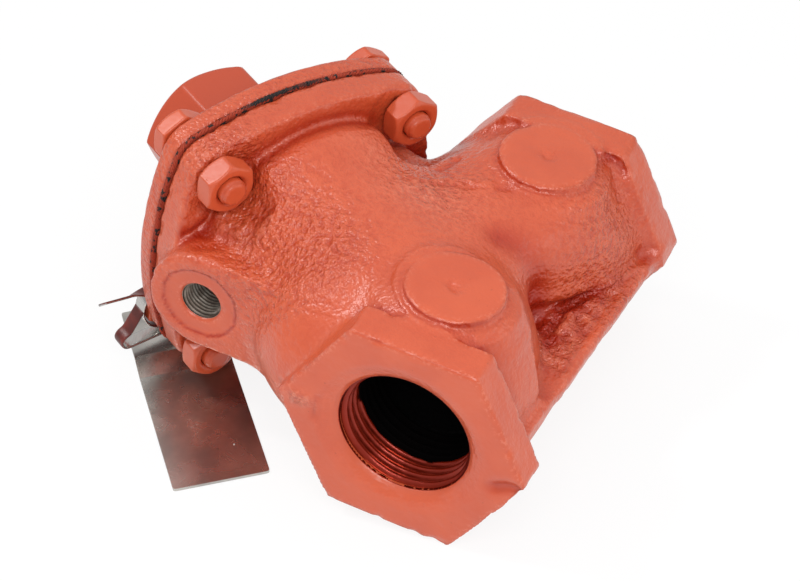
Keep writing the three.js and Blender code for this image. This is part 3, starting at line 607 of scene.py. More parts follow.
def bare_thread():
    """Unpainted tapped cast iron, grey-brown with cutting marks, its grooves darkened as painted shade."""
    f = Finish("bare_thread", Specular_IOR_Level=0.5)
    stain = f.grain(1.8, 3)
    fine = f.grain(0.25, 2)
    f.bump(fine * 0.02 + stain * 0.02)
    cutting = f.mix(stain.between(0.35, 0.65), CUT_IRON, STAINED_IRON)
    # painted shade: the thread's grooves darkened
    groove = (f.mark("pool") - THREAD_SHADE) * 2.7
    f.colour(f.mix(groove.held(), cutting, IRON_GROOVE_SHADE))
    f.metallic((0.75 - stain.between(0.5, 0.8) * 0.4).held())
    f.roughness((0.32 + fine * 0.2 + stain * 0.15).held())
    return f.material


def fibre_gasket():
    """Twisted dark fibre with primer caught on it, bare along its top."""
    f = Finish("fibre_gasket", Specular_IOR_Level=0.3)
    strand = f.grain(0.7, 4, 0.65)
    fine = f.grain(0.22, 2)
    f.bump(strand * 0.25 + fine * 0.08)
    caught = (f.grain(1.3, 3).between(0.39, 0.46) * (1 - f.mark("bare"))).held()
    dark = f.mix(fine.between(0.4, 0.6), FIBRE_DARK, FIBRE_GREY)
    f.colour(f.mix(caught, dark, FIBRE_PAINTED))
    f.roughness((0.62 + fine * 0.25).held())
    return f.material


def mirror_steel():
    """Bright stainless sheet, hazy with handling, with hairline scratches, specks and smears."""
    f = Finish("mirror_steel")
    scratch = f.grain(0.30, 2, 0.5, f.stretched((0.35, 1, 0), 26)).between(0.68, 0.72)
    other = f.grain(0.24, 1, 0.5, f.stretched((1, -0.25, 0), 22)).between(0.72, 0.75)
    smear = f.grain(9, 3)
    speck = f.grain(1.6, 1).between(0.80, 0.83)
    f.bump(f.grain(26, 1) * 0.5 - (scratch + other) * 0.001)
    f.colour(f.mix((smear.between(0.3, 0.7) * 0.8).held(), SHEET_BRIGHT, SHEET_SMEARED))
    f.metallic((0.97 - speck * 0.7).held())
    f.roughness((0.27 + smear.between(0.4, 0.8) * 0.04 + (scratch + other) * 0.03 + speck * 0.2).held())
    return f.material


def worked_steel(name, light, dark, rough, axis):
    """Turned or drawn metal: fine lines round or along an axis and faint stains."""
    f = Finish(name)
    lines = f.grain(0.35, 2, 0.6, f.stretched(axis, 12))
    stain = f.grain(3.5, 3)
    f.bump(lines * 0.02)
    f.colour(f.mix(stain.between(0.35, 0.7), light, dark))
    f.metallic((1.0 - stain.between(0.62, 0.85) * 0.3).held())
    f.roughness((rough + lines * 0.12 + stain * 0.08).held())
    return f.material


def painted_strap():
    """Soft steel band, primer brushed over its inner face and rubbed off the outer one, the primer painted
    dark red for the shade under the flange.
    """
    f = Finish("painted_strap", Specular_IOR_Level=0.5)
    rub = (f.mark("wear") + f.grain(1.2, 3) * 0.5 - 0.25).between(0.40, 0.55)
    lines = f.grain(0.3, 2, 0.5, f.stretched((1, 0.3, 0), 14))
    f.bump(lines * 0.012 + f.grain(2.0, 2) * 0.04)
    # painted shade: the strap's primer darkened for the shade under the flange
    paint = f.mix(f.grain(3, 2).between(0.4, 0.7), STRAP_PAINT_SHADED_THIN, STRAP_PAINT_SHADED_THICK)
    steel = f.mix(lines, STRAP_STEEL_DARK, STRAP_STEEL_LIGHT)
    f.colour(f.mix(rub, paint, steel))
    f.metallic(rub)
    f.roughness((0.30 + lines * 0.1 - rub * 0.10).held())
    return f.material


def screen_mesh():
    """Fine pits over the stainless sheet round the discs, between its punched holes."""
    f = Finish("strainer_mesh")
    holes = 1 - f.node("ShaderNodeTexVoronoi", {"Vector": f.place, "Scale": 900.0}).between(0.28, 0.36)
    stain = f.grain(4, 3)
    f.bump(holes * -0.4 + stain * 0.02)
    sheet = f.mix(stain.between(0.4, 0.7), SCREEN_LIGHT, SCREEN_STAINED)
    f.colour(f.mix(holes, sheet, BLACK))
    f.metallic((1 - holes).held())
    f.roughness((0.32 + holes * 0.5).held())
    return f.material


leg_axis = tuple((LEG.to_3x3() @ Vector((0, 0, 1))).normalized())
CAST = cast_primer()
SMOOTH = smooth_primer()
THREAD = bare_thread()
GASKET = fibre_gasket()
MIRROR = mirror_steel()
STRAP = painted_strap()
STAINLESS = worked_steel("turned_stainless", (0.56, 0.55, 0.53), (0.40, 0.38, 0.36), 0.24, leg_axis)
BIMETAL = worked_steel("bimetal_strip", (0.62, 0.50, 0.34), (0.42, 0.33, 0.24), 0.28, (0.2, 1, 0.1))
SCREEN = screen_mesh()
COPPER = worked_steel("annealed_copper", (0.70, 0.33, 0.19), (0.45, 0.20, 0.12), 0.30, leg_axis)


# Body casting

def leg_places(x, y, z):
    """Across and along the chamber, and how far out from its axis and from the pipe's."""
    across = x * COS - y * SIN
    along = x * SIN + y * COS
    return across, along, np.hypot(across, z), np.hypot(y, z)


def hollows(x, y, z):
    """The bores and chambers inside the casting, joined."""
    across, along, neck, pipe = leg_places(x, y, z)
    field = np.sqrt(across ** 2 + z ** 2 + (along - ROOM_ALONG) ** 2) - ROOM_RADIUS
    for depth in (x - OUTLET_X, INLET_X - x):
        dish = np.interp(depth, *PORT_DISH)
        field = np.minimum(field, shared(pipe - dish, depth - PORT_DEPTH, 0.5))
    start = (INLET_X - PASSAGE_IN, 0)
    end = (start[0] - PASSAGE_LENGTH * math.cos(PASSAGE_ANGLE), PASSAGE_LENGTH * math.sin(PASSAGE_ANGLE))
    field = np.minimum(field, along_line(x, y, z, start, end, *PASSAGE_RADII))
    field = np.minimum(field, shared(neck - CHAMBER_RADIUS, CHAMBER_FLOOR - along, 0.8))
    seat_bore = shared(neck - SEAT_RADIUS, between(along, SEAT_FROM, CHAMBER_FLOOR + 1), 0.2)
    return np.minimum(field, seat_bore)


def body_field(x, y, z):
    """The whole casting: chamber leg, pipe ends, pads, flange, boss and web, less the hollows."""
    across, along, neck, pipe = leg_places(x, y, z)
    outlet_hex = shared(hexagon(y, z, HEX_FLATS, 0.8), between(x, OUTLET_X, OUTLET_X + HEX_DEPTH), 0.5)
    inlet_hex = shared(hexagon(y, z, HEX_FLATS, 1.6), between(x, INLET_X - HEX_DEPTH, INLET_X), 0.7)
    low = along - LOBE_FROM
    lobe = (np.sqrt((neck / LOBE_RADIUS) ** 2 + (low / LOBE_LENGTH) ** 2) - 1) * LOBE_RADIUS
    lobe = np.where(low < 0, lobe, neck - np.interp(along, NECK_ALONG, NECK_RADII))
    leg = shared(lobe, along - FLANGE_BACK - 2, 0.5)
    barrel = shared(pipe - BARREL_RADIUS, between(x, OUTLET_X + 4, 0), 0.5)
    inlet = along_line(x, y, z, *INLET_MOUTH)
    for *run, fillet in INLET_BENDS:
        inlet = both(inlet, along_line(x, y, z, *run), fillet)
    inlet = shared(inlet, INLET_WALL - along, 5)
    inlet = shared(inlet, x - INLET_X + 4, 0.5)
    field = both(leg, inlet, 5)
    field = both(field, barrel, 9)
    for (centre, top), fillet in zip(PADS, PLINTH_FILLETS):
        drop = top - PLINTH_DROP - z
        side = np.hypot(x - centre, y) - PLINTH_RADIUS - np.interp(drop, *PLINTH_FLARE)
        plinth = shared(shared(side, -drop, 0.5), PLINTH_FOOT - z, 0.5)
        field = both(field, plinth, fillet)
    flange = shared(flange_outline(across, z), between(along, FLANGE_BACK, FLANGE_FACE), 1.0)
    field = both(field, flange, 2.2)
    boss_run = np.clip(y, 8, BOSS_Y)
    boss = shared(np.hypot(y - boss_run, z) - BOSS_RADIUS, between(x, BOSS_X, BOSS_X + BOSS_LENGTH), 1.2)
    field = both(field, boss, 2.5)
    field = both(field, outlet_hex, 2.0)
    field = both(field, inlet_hex, 5.0)
    edge = (WEB_EDGE_Y - WEB_EDGE_FALL * (x - OUTLET_X - WEB_INSET) / WEB_LENGTH) - y
    web = shared(edge, np.abs(z) - WEB_HALF, 1.0)
    web = shared(web, between(x, OUTLET_X + WEB_INSET, INLET_X - WEB_INSET), 0.5)
    field = both(field, shared(web, y, 0.5), 2.5)
    for centre, top in PADS:
        pad = shared(np.hypot(x - centre, y) - PAD_RADIUS, between(z, top - PAD_DEPTH, top), 0.7)
        field = both(field, pad, 0.7)
        dimple = np.sqrt((x - centre) ** 2 + y ** 2 + (z - top - DIMPLE_UP) ** 2) - DIMPLE_RADIUS
        field = cut_away(field, dimple, 1.0)
    for u, v in BOLTS:
        bolt = np.hypot(across - u, z + v)
        pocket_ends = between(along, FLANGE_BACK - POCKET_DEPTH, FLANGE_BACK)
        field = cut_away(field, shared(bolt - POCKET_RADIUS, pocket_ends, 1.5), 2.6)
        hole_ends = between(along, FLANGE_BACK - 1, FLANGE_BACK + 9)
        field = cut_away(field, shared(bolt - BOLT_HOLE_RADIUS, hole_ends, 0.2), 0.4)
    field = shared(field, along - FLANGE_BACK - FLANGE_THICK, 0.4)
    field = cut_away(field, hollows(x, y, z), 0.4)
    spot = np.hypot(y - BOSS_Y, z)
    field = cut_away(field, shared(spot - SPOT_FACE_RADIUS, x - BOSS_X - SPOT_FACE_DEPTH, 0.2), 0.3)
    bore = np.maximum(PLUG_MOUTH - 0.6 * (x - BOSS_X), PLUG_BORE)
    return cut_away(field, shared(spot - bore, x - BOSS_X - PLUG_DEPTH, 0.3), 0.2)


def crowding(field, points, normals, reach):
    """How closed in each point is, and how much of an edge it is on, both from 0 to 1."""
    out = field(*(points + normals * reach).T) / reach
    back = -field(*(points - normals * reach * 0.6).T) / (reach * 0.6)
    return np.clip(1 - out, 0, 1), np.clip(1.0 - back, 0, 1)


# Marks left by the mould and the grinder: height, width and the line each follows in the pipe frame
RELIEF = [
    (-0.8, 1.6, [(26, -11.5, 3.2), (31, -13.8, 3.0), (36, -16.4, 2.6), (42, -19.8, 2.4)]),
    (1.1, 1.6, [(18.6, -17, 2.4), (27.4, -17.7, 2.4), (36.3, -18.5, 2.4), (43, -21, 2.4),
                (52.4, -24.4, 2.4)]),
    (0.6, 1.2, [(21.7, -13.7, 3), (28.4, -14.9, 3), (34.3, -16.1, 3)]),
    (-1.3, 1.3, [(22.5, -14.9, 2.5), (32, -15.8, 2.5), (39.7, -18.9, 2.5)]),
    (-1.2, 1.2, [(25.7, -12.3, 3), (23, -13.7, 3)]),
    (-1.2, 1.2, [(21.7, -17, 2.4), (19, -16.4, 2.4)]),
    (1.0, 2.0, [(26.7, -10.2, 5.9), (31, -12.5, 5.6), (35.4, -15.3, 4.7), (40.3, -18.3, 4.2),
                (45.1, -21.4, 3.5)]),
    (0.5, 1.8, [(33.8, 1.3, 21.6), (37.4, -4.4, 22.2), (42.9, -11.8, 22.4), (48.2, -14.9, 20.4)]),
    (-1.7, 3.6, [(24.5, 0, 21.5), (26, -4.5, 19), (27, -8.5, 12.5), (26, -11, 6)]),
    (0.7, 2.6, [(10, -24.6, 2.2), (36, -26.2, 2.2), (62, -27.4, 2.2)]),
    (0.7, 0.9, [(30.5, 24, 24.4), (32.8, 20.2, 23.6), (35.6, 18, 23.2)]),
    (-0.6, 0.9, [(31.6, 21.6, 24.2), (34.4, 15.5, 23.6), (36, 10.9, 23.8)]),
    (0.6, 1.0, [(36.2, 15, 23.6), (37.2, 11.6, 23.8), (38.4, 8.5, 23.8)]),
    (-0.7, 1.2, [(37.9, 5.8, 23.6), (39.4, 3.4, 23.4)]),
    (-0.8, 1.3, [(40, 21.2, 21.5), (45.3, 19.7, 20.7)]),
    (-1.0, 1.1, [(61.3, -10.5, 25.3), (61.1, -13, 24.1), (61.1, -15.5, 22.3)]),
    (-0.6, 1.3, [(60.4, 18.6, 21.8), (60, 16, 23.2)]),
    (-0.6, 1.8, [(57.5, -24, 3.1), (57.3, -26.3, 2.2)]),
    (0.9, 1.8, [(1.6, 64, 12.9), (4.9, 60.9, 15.7), (7.8, 57, 16.9)]),
    (-0.9, 2.0, [(1.4, 60, 12.3), (1, 55, 13.5), (-2, 59.5, 12.2)]),
    (-0.6, 0.7, [(OUTLET_X, 20.2, -3.2), (OUTLET_X, 20.6, 0), (OUTLET_X, 20.0, 3.0)]),
    (-1.1, 1.7, [(OUTLET_X, -22.6, -2.6), (OUTLET_X, -25, -1.4), (OUTLET_X, -27.2, -1.2)]),
    (-0.7, 0.8, [(OUTLET_X, 9, 25.4), (OUTLET_X, 7.6, 25.4)]),
]
# Places where the sand left its print deepest: centre and reach
ROUGH = [((5, 47, 22), 13), ((-3, 39, 13), 13), ((1, 30, 22), 9), ((48, -16, 16), 11), ((33, 20, 20), 13),
         ((62, 22, 10), 10), ((40, -19, 4), 12), ((8, 60, 30), 9)]
# Crusty paint, lightened on the saddle as a painted sheen, centre and reach: the saddle in x and y, a blotch
# on the outlet face in y and z
SADDLE = ((24, 20), (9, 13))
BLOTCH = ((24, 0.8), (3.2, 2.0))


def patch(a, b, centre, reach):
    """1 at the centre of a soft oval spot, fading to 0."""
    return np.exp(-((a - centre[0]) / reach[0]) ** 2 - ((b - centre[1]) / reach[1]) ** 2)


def body_skin(points, normals):
    """Lift of the skin and its marks: cast print, cut faces, bare metal in the hollows painted black for its
    shade, painted shade in corners and grooves, and crusty paint with a painted sheen on the saddle.
    """
    x, y, z = points.T
    along = x * SIN + y * COS
    pipe = np.hypot(y, z)
    spot = np.hypot(y - BOSS_Y, z)
    cut = 1 - ramp(x, OUTLET_X + 0.1, OUTLET_X + 0.5)
    cut = np.maximum(cut, ramp(x, INLET_X - 0.5, INLET_X - 0.1))
    cut = np.maximum(cut, ramp(along, FLANGE_FACE - 0.6, FLANGE_FACE - 0.2))
    for centre, top in PADS:
        r = np.hypot(x - centre, y)
        pad_face = ramp(z, top - 0.5, top - 0.2) * (1 - ramp(r, 11, 12)) * ramp(r, 1.5, 3)
        cut = np.maximum(cut, pad_face)
    spot_face = (1 - ramp(x, BOSS_X + 0.6, BOSS_X + 1.5)) * (1 - ramp(spot, 8.9, 9.2))
    cut = np.maximum(cut, spot_face)
    port_bores = (pipe < 17.2) & ((x < OUTLET_X + PORT_DEPTH) | (x > INLET_X - PORT_DEPTH))
    plug_bore = (spot < 5.2) & (x < BOSS_X + PLUG_DEPTH + 1) & (x > BOSS_X)
    bore = port_bores | plug_bore
    cut = np.where(bore, 1.0, cut)
    hexes = 1 - ramp(x, OUTLET_X + HEX_DEPTH, OUTLET_X + HEX_DEPTH + 1)
    hexes = np.maximum(hexes, ramp(x, INLET_X - HEX_DEPTH - 1, INLET_X - HEX_DEPTH))
    rough = sum(np.exp(-np.sum((points - centre) ** 2, axis=1) / reach ** 2) for centre, reach in ROUGH)
    cast = (1 - cut) * (1 - 0.45 * hexes) * np.clip(0.24 + 0.75 * rough, 0, 1)
    # bare metal in the hollows and bores, later painted black for the shade there
    deep = (hollows(x, y, z) < 0.6) * (x > OUTLET_X + 11) * (x < INLET_X - 11) * (along < 62) * 1.0
    pool, edge = crowding(body_field, points, normals, 2.4)
    wide = crowding(body_field, points, normals, 7)[0]
    saddle = patch(x, y, *SADDLE) * ramp(z, 2, 14)
    back_side = ramp(y, 24, 34) * ramp(x, 22, 32) * (1 - ramp(along, 50, 55))
    blotch = (np.abs(x - OUTLET_X) < 0.6) * patch(y, z, *BLOTCH)
    # crusty paint; on the saddle its lighter colour is also a painted sheen
    crust = np.clip(saddle * 0.8 + 0.6 * back_side, 0, 1) * cast
    crust = np.maximum(crust, blotch)
    cast = np.maximum(cast, blotch)
    lift = 0.16 * lumps(points, 17, 3) + 0.09 * lumps(points, 6.5, 4)
    lift = lift * (1 - cut) + cast * 0.09 * lumps(points, 2.1, 5) + crust * 0.26 * lumps(points, 2.1, 6)
    for centre, top in PADS:
        dimple = np.exp(-((x - centre) ** 2 + y ** 2) / 4) * (z > 15)
        lift = lift + dimple * 0.45 * lumps(points, 1.1, 9)
    worn = np.clip(edge * 1.6, 0, 1) * (1 - deep) * (1 - bore)
    lift = lift - worn * np.clip(lumps(points, 2.2, 7) - 0.15, 0, 1) * 0.7
    # painted shade: darker where the skin is closed in, near and wider
    pool = np.clip(pool - 0.18, 0, 1) + 0.55 * np.clip(wide - 0.22, 0, 1)
    # painted shade in the groove round the spot face
    rim = np.exp(-((spot - 9.05) / 0.28) ** 2) * (x < BOSS_X + 1.2) * (x > BOSS_X - 1)
    pool = np.maximum(pool, 0.9 * rim)
    web = (z < 3.4) * (z > 1) * ramp(y, -24.4, -22.8)
    web = web * (1 - ramp(y, -14, -11)) * ramp(x, 8, 14)
    # painted shade in the web's recess
    pool = pool + web * np.clip(0.25 + 0.4 * lumps(points, 2.4, 14), 0, 0.6)
    lift = lift + web * 0.75 * lumps(points, 2.0, 15)
    cast = np.maximum(cast, web * 0.9)
    crust = np.maximum(crust, web * 0.3)
    for height, width, line in RELIEF:
        near = np.exp(-(from_line(points, line) / width) ** 2)
        lift = lift + height * near * (1 + 0.35 / max(width, 1) * lumps(points, 1.7, 8))
        # sunken marks also get painted shade
        pool = np.minimum(pool + max(-height, 0) * 0.5 * near, 1.05)
    edge = edge * (1 - bore) * (1 - deep)
    return lift, {"cast": cast, "deep": deep, "pool": pool, "crust": crust, "edge": edge}


def grown(name, field, skin, low, high, step, place, finish):
    """A piece of the painted housing made from a distance field, its skin lifted and marked."""
    coarser = 1
    points, faces, normals = surface_net(field, low, high, step * coarser)
    lift, marks = skin(points, normals)
    points = points + normals * lift[:, None]
    return make_piece(name, points, faces, place, "housing", finish, marks)


casting = grown("body_casting", body_field, body_skin, (-24, -32, -37), (72, 76, 37), 0.65, PIPE, CAST)
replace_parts(casting, "body")


def threads(name, place, finish, sides, mouth, depth, root, crest, pitch, back):
    """A tapped thread as a closed ring: ridges inside, a plain back that the bore hides."""
    steps = int((depth - mouth) / pitch * 10)
    t = np.linspace(mouth, depth, steps)
    angle = np.arange(sides) * 2 * math.pi / sides
    phase = (t[:, None] / pitch - angle[None, :] / (2 * math.pi)) % 1
    ridge = np.clip(2 * np.abs(phase * 2 - 1) - 0.5, 0, 1)
    ridge = ridge * ramp(t, mouth, mouth + pitch)[:, None]
    inner = root - THREAD_TAPER * t[:, None] - (root - crest) * ridge
    rows = [np.stack([np.repeat(t[:, None], sides, 1), inner * np.cos(angle), inner * np.sin(angle)], 2)]
    for reach in (depth, mouth):
        rows.append(np.stack([np.full(sides, reach), back * np.cos(angle), back * np.sin(angle)], 1)[None])
    rows = np.concatenate(rows)
    ragged = 0.30 * np.sin(3 * angle + 1) + 0.22 * np.sin(7 * angle + 2) + 0.2 * np.sin(19 * angle)
    painted, bare = PAINT_REACH
    # bare metal past the paint, painted black for the shade far in the bore
    deep = ramp(rows[:, :, 0] + ragged, mouth + painted, mouth + bare).ravel()
    none = np.zeros(len(deep))
    # painted shade: the whole thread darkened, its grooves more
    pool = np.concatenate([THREAD_SHADE + (1 - ridge).ravel() * GROOVE_SHADE_MORE, np.zeros(2 * sides)])
    marks = {"deep": deep, "cast": none, "crust": none, "edge": none, "pool": pool}
    faces = ring_quads(len(rows), sides)
    make_piece(name, rows.reshape(-1, 3), faces, place, "housing", finish, marks)


OUTLET = PIPE @ Matrix.Translation((OUTLET_X, 0, 0))
INLET = PIPE @ Matrix.Translation((INLET_X, 0, 0)) @ Matrix.Rotation(math.pi, 4, "Z")
BOSS = PIPE @ Matrix.Translation((BOSS_X, BOSS_Y, 0))
threads("outlet_thread", OUTLET, CAST, 160, **PIPE_THREAD)
threads("inlet_thread", INLET, CAST, 160, **PIPE_THREAD)
threads("boss_thread", BOSS, THREAD, 96, **PLUG_THREAD)


# Cover, cap and fasteners, in the leg frame

def plain_skin(field, cast_amount, reach=1.6, dull=0.0):
    """The skin of a plainer piece: some of the mould's print, worn edges, painted shade in corners, and a
    mark that darkens the whole piece as painted shade.
    """
    def skin(points, normals):
        pool, edge = crowding(field, points, normals, reach)
        lift = cast_amount * (0.10 * lumps(points, 9, 11) + 0.05 * lumps(points, 2.6, 12))
        lift = lift - edge * np.clip(lumps(points, 2.2, 13) - 0.3, 0, 1) * 0.35 * cast_amount
        none = np.zeros(len(points))
        # painted shade in corners, and over the whole piece where the dim mark is set
        return lift, {"cast": none + cast_amount * 0.6, "deep": none, "crust": none, "pool": pool * 0.8,
                      "edge": edge, "dull": none + dull}
    return skin


def cover_field(u, v, w):
    """The cover: its plate, dome, boss and spigot, less the cap's bore and the bolt holes."""
    r = np.hypot(u, v)
    plate = shared(flange_outline(u, v), between(w, COVER_LOW, COVER_FACE), 1.1)
    dome_side = r - COVER_DOME_RADIUS + np.maximum(w - COVER_FACE, 0) * 0.5
    dome = shared(dome_side, between(w, COVER_LOW, COVER_FACE + 4), 1.5)
    boss = shared(r - COVER_BOSS_RADIUS, between(w, COVER_LOW, COVER_BOSS), 1.0)
    field = both(both(plate, dome, 3), boss, 3)
    spigot = shared(r - COVER_SPIGOT_RADIUS, between(w, COVER_LOW - 3, COVER_LOW + 1), 0.4)
    field = both(field, spigot, 0.3)
    field = cut_away(field, r - COVER_BORE_RADIUS, 0.5)
    for a, b in BOLTS:
        field = cut_away(field, np.hypot(u - a, v - b) - BOLT_HOLE_RADIUS, 0.3)
    return field


cover_skin = plain_skin(cover_field, 0.9)
cover = grown("cover_casting", cover_field, cover_skin, (-37, -37, 61), (37, 37, 79), 0.62, LEG, CAST)
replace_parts(cover, "cover")


def hex_prism(u, v, w, flats, low, high, low_end, high_end, turn, rounding):
    """A hexagonal prism whose chosen ends are chamfered by a cone that falls 3 in 4."""
    a, b = turned(u, v, turn)
    field = shared(hexagon(a, b, flats, rounding), between(w, low, high), rounding)
    r = np.hypot(u, v)
    for wanted, depth in ((low_end, w - low), (high_end, high - w)):
        if wanted:
            cone = (r - flats / 2 + 0.02 * flats) * CHAMFER[0] - depth * CHAMFER[1]
            field = shared(field, cone, rounding / 2)
    return field


def cap_field(u, v, w):
    """The cap: a tall hexagon with its spigot below, hollow up to the crown."""
    high = CAP_LOW + CAP_LENGTH
    field = hex_prism(u, v, w, CAP_FLATS, CAP_LOW, high, False, True, CAP_TURN, 0.9)
    r = np.hypot(u, v)
    spigot = shared(r - CAP_SPIGOT_RADIUS, between(w, CAP_LOW - CAP_SPIGOT_LENGTH, CAP_LOW + 1), 0.5)
    field = both(field, spigot, 0.4)
    return cut_away(field, shared(r - CAP_BORE_RADIUS, w - CAP_LOW - CAP_LENGTH + CAP_CROWN, 0.5), 0.5)


# the cap's paint darkened as painted shade
cap_skin = plain_skin(cap_field, 0.25, dull=1.0)
cap = grown("hex_cap_forging", cap_field, cap_skin, (-18, -18, 66), (18, 18, 101), 0.5, LEG, SMOOTH)
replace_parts(cap, "hex_cap")


def nut_field(u, v, w):
    """One nut, its hole countersunk at the lower end."""
    low = NUT_HIGH - NUT_HEIGHT
    field = hex_prism(u, v, w, NUT_FLATS, low, NUT_HIGH, True, True, math.pi / 6, 0.35)
    hole = np.hypot(u, v) - NUT_BORE_RADIUS - np.maximum(low + NUT_COUNTERSINK - w, 0)
    return cut_away(field, hole, 0.2)


def bolt_field(u, v, w):
    """One bolt: head, shank and a narrower end."""
    high = BOLT_HEAD_LOW + BOLT_HEAD_HEIGHT
    field = hex_prism(u, v, w, BOLT_HEAD_FLATS, BOLT_HEAD_LOW, high, False, True, math.pi / 6, 0.4)
    r = np.hypot(u, v)
    field = both(field, shared(r - BOLT_RADIUS, between(w, BOLT_END + 1.0, BOLT_HEAD_LOW + 1), 0.5), 0.4)
    return both(field, shared(r - BOLT_END_RADIUS, between(w, BOLT_END, BOLT_END + 3), 0.9), 0.2)


nut_skin = plain_skin(nut_field, 0.2, 0.8)
bolt_skin = plain_skin(bolt_field, 0.2, 0.8)
for number, (u, v) in enumerate(BOLTS, 1):
    at = LEG @ Matrix.Translation((u, v, 0))
    nut = grown(f"cover_nut_{number}_hex", nut_field, nut_skin, (-7, -7, 49.5), (7, 7, 57), 0.3, at, SMOOTH)
    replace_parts(nut, f"cover_nut_{number}")
    bolt = grown(f"cover_bolt_{number}_hex", bolt_field, bolt_skin, (-7, -7, 47.5), (7, 7, 75), 0.34,
                 at, SMOOTH)
    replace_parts(bolt, f"cover_bolt_{number}")


# The joint's frayed edge, in the leg frame

def flange_edge(count):
    """Evenly spaced places round the flange outline, and the way out from each."""
    rays = 2880
    angle = np.arange(rays) * 2 * math.pi / rays
    low = np.full(rays, 20.0)
    high = np.full(rays, 60.0)
    for _ in range(30):
        middle = (low + high) / 2
        inside = flange_outline(middle * np.cos(angle), middle * np.sin(angle)) < 0
        low = np.where(inside, middle, low)
        high = np.where(inside, high, middle)
    ring = np.stack([low * np.cos(angle), low * np.sin(angle)], 1)
    ring = np.concatenate([ring, ring[:1]])
    length = np.concatenate([[0], np.cumsum(np.linalg.norm(np.diff(ring, axis=0), axis=1))])
    spot = np.arange(count) * length[-1] / count
    ring = np.stack([np.interp(spot, length, ring[:, k]) for k in range(2)], 1)
    run = np.roll(ring, -1, axis=0) - np.roll(ring, 1, axis=0)
    out = np.stack([run[:, 1], -run[:, 0]], 1) / np.linalg.norm(run, axis=1)[:, None]
    return ring, out


def gasket_rope(strands=3, turns=88, per_turn=12, thickness=0.30):
    """Strands of fibre laid round each other in the gap between flange and cover."""
    count = turns * per_turn
    ring, out = flange_edge(count)
    places = np.column_stack([ring, np.full(count, GASKET_EDGE)])
    sway = 0.22 * lumps(places, 7, 21) - 0.15
    points, faces, base = [], [], 0
    for strand in range(strands):
        phase = np.arange(count) * 2 * math.pi / per_turn + strand * 2 * math.pi / strands
        phase = phase + 0.9 * lumps(places, 11, 22)
        reach = 0.27 + 0.10 * lumps(places, 2.4, 23 + strand)
        outward = sway + reach * np.cos(phase)
        route = np.column_stack([ring + out * outward[:, None], GASKET_EDGE + reach * np.sin(phase)])
        spots, quads = tube(route, thickness)
        points.append(spots)
        faces.append(quads + base)
        base += len(spots)
    points = np.concatenate(points)
    u = points[:, 0]
    top = (points[:, 1] < -20) * (ramp(u, -18, -11) * (1 - ramp(u, 2, 12)) + ramp(u, 27, 30))
    bare = np.clip(top + 0.30 * lumps(points, 5, 29), 0, 1)
    faces = np.concatenate(faces)
    make_piece("gasket_edge", points, faces, LEG, "housing", GASKET, {"bare": bare})


gasket_rope()


# Strap round the lower bolt head, its fold and its tail, in the leg frame

def drop_at(across, height):
    """How far down the leg frame the strap is where it lies that high above the floor."""
    here = LEG @ Vector((across, 0, STRAP_AT))
    below = LEG @ Vector((across, 1, STRAP_AT))
    return (here.z - height * MM) / (here.z - below.z)


def make_strap():
    """The band: an eye round the bolt head, a folded run down to the tag, and a loose tail."""
    bolt_u = -BOLT_HALF
    bolt_v = BOLT_HALF
    straight = (0, 0, 1)
    angle = np.linspace(0, 2 * math.pi, 73)
    eye = [(bolt_u + WRAP_RADIUS * math.cos(a), bolt_v + WRAP_RADIUS * math.sin(a), STRAP_AT) for a in angle]
    fold_u = bolt_u - FOLD_OUT
    hook_u = bolt_u + HOOK_OUT
    run_v = drop_at(fold_u, RUN_HEIGHT)
    run = [(bolt_u - WRAP_RADIUS, bolt_v, STRAP_AT)]
    for a in np.linspace(0, math.pi, 17):
        run.append((fold_u - FOLD_RADIUS * math.sin(a), run_v - FOLD_RADIUS * (1 + math.cos(a)), STRAP_AT))
    for on, height, drop in ((-2, RUN_HEIGHT, 0), (-0.8, RUN_HEIGHT, 0.4), (0.4, HOOK_HEIGHT, -0.4),
                             (1.4, HOOK_HEIGHT, 0), (4.8, HOOK_HEIGHT, 0)):
        run.append((hook_u + on, drop_at(hook_u + on, height) + drop, STRAP_AT))
    start_u = bolt_u - WRAP_RADIUS * math.cos(TAIL_TURN)
    start_v = bolt_v - WRAP_RADIUS * math.sin(TAIL_TURN)
    tail = [(start_u - TAIL_LENGTH * t, start_v - TAIL_RISE * t, STRAP_AT) for t in (0, 0.15, 0.35, 1)]
    twist = [straight, (-0.03, 0.35, 0.93), (-0.08, 0.73, 0.68), (-0.08, 0.73, 0.68)]
    points, faces, wear, base = [], [], [], 0
    for route, across in ((eye, [straight] * len(eye)), (run, [straight] * len(run)), (tail, twist)):
        spots, quads, outer = ribbon(route, across)
        points.append(spots)
        faces.append(quads + base)
        wear.append(outer)
        base += len(spots)
    points, faces, wear = [np.concatenate(values) for values in (points, faces, wear)]
    return make_piece("strap_band", points, faces, LEG, "housing", STRAP, {"wear": wear})


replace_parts(make_strap(), "tag_strap")


# Solids that stay: worked edges and their own finishes
BEVEL_METRES = 0.00012
INNER = {"cover_gasket": GASKET, "cap_gasket": COPPER, "seat_gasket": COPPER, "valve_seat": STAINLESS,
         "valve_stem": STAINLESS, "stack_plate": STAINLESS, "spacer_sleeve": STAINLESS,
         "adjusting_nut": STAINLESS, "lock_nut": STAINLESS, "strainer_screen": SCREEN, "tag": MIRROR}
INNER.update({f"bimetal_pair_{k}": BIMETAL for k in range(1, 7)})
for name, finish in INNER.items():
    node = frame["nodes"][name]
    node.material_slots[0].material = finish
    bevel = node.modifiers.new("worked_edge", "BEVEL")
    bevel.width = BEVEL_METRES
    bevel.segments = 2
    bevel.limit_method = "ANGLE"

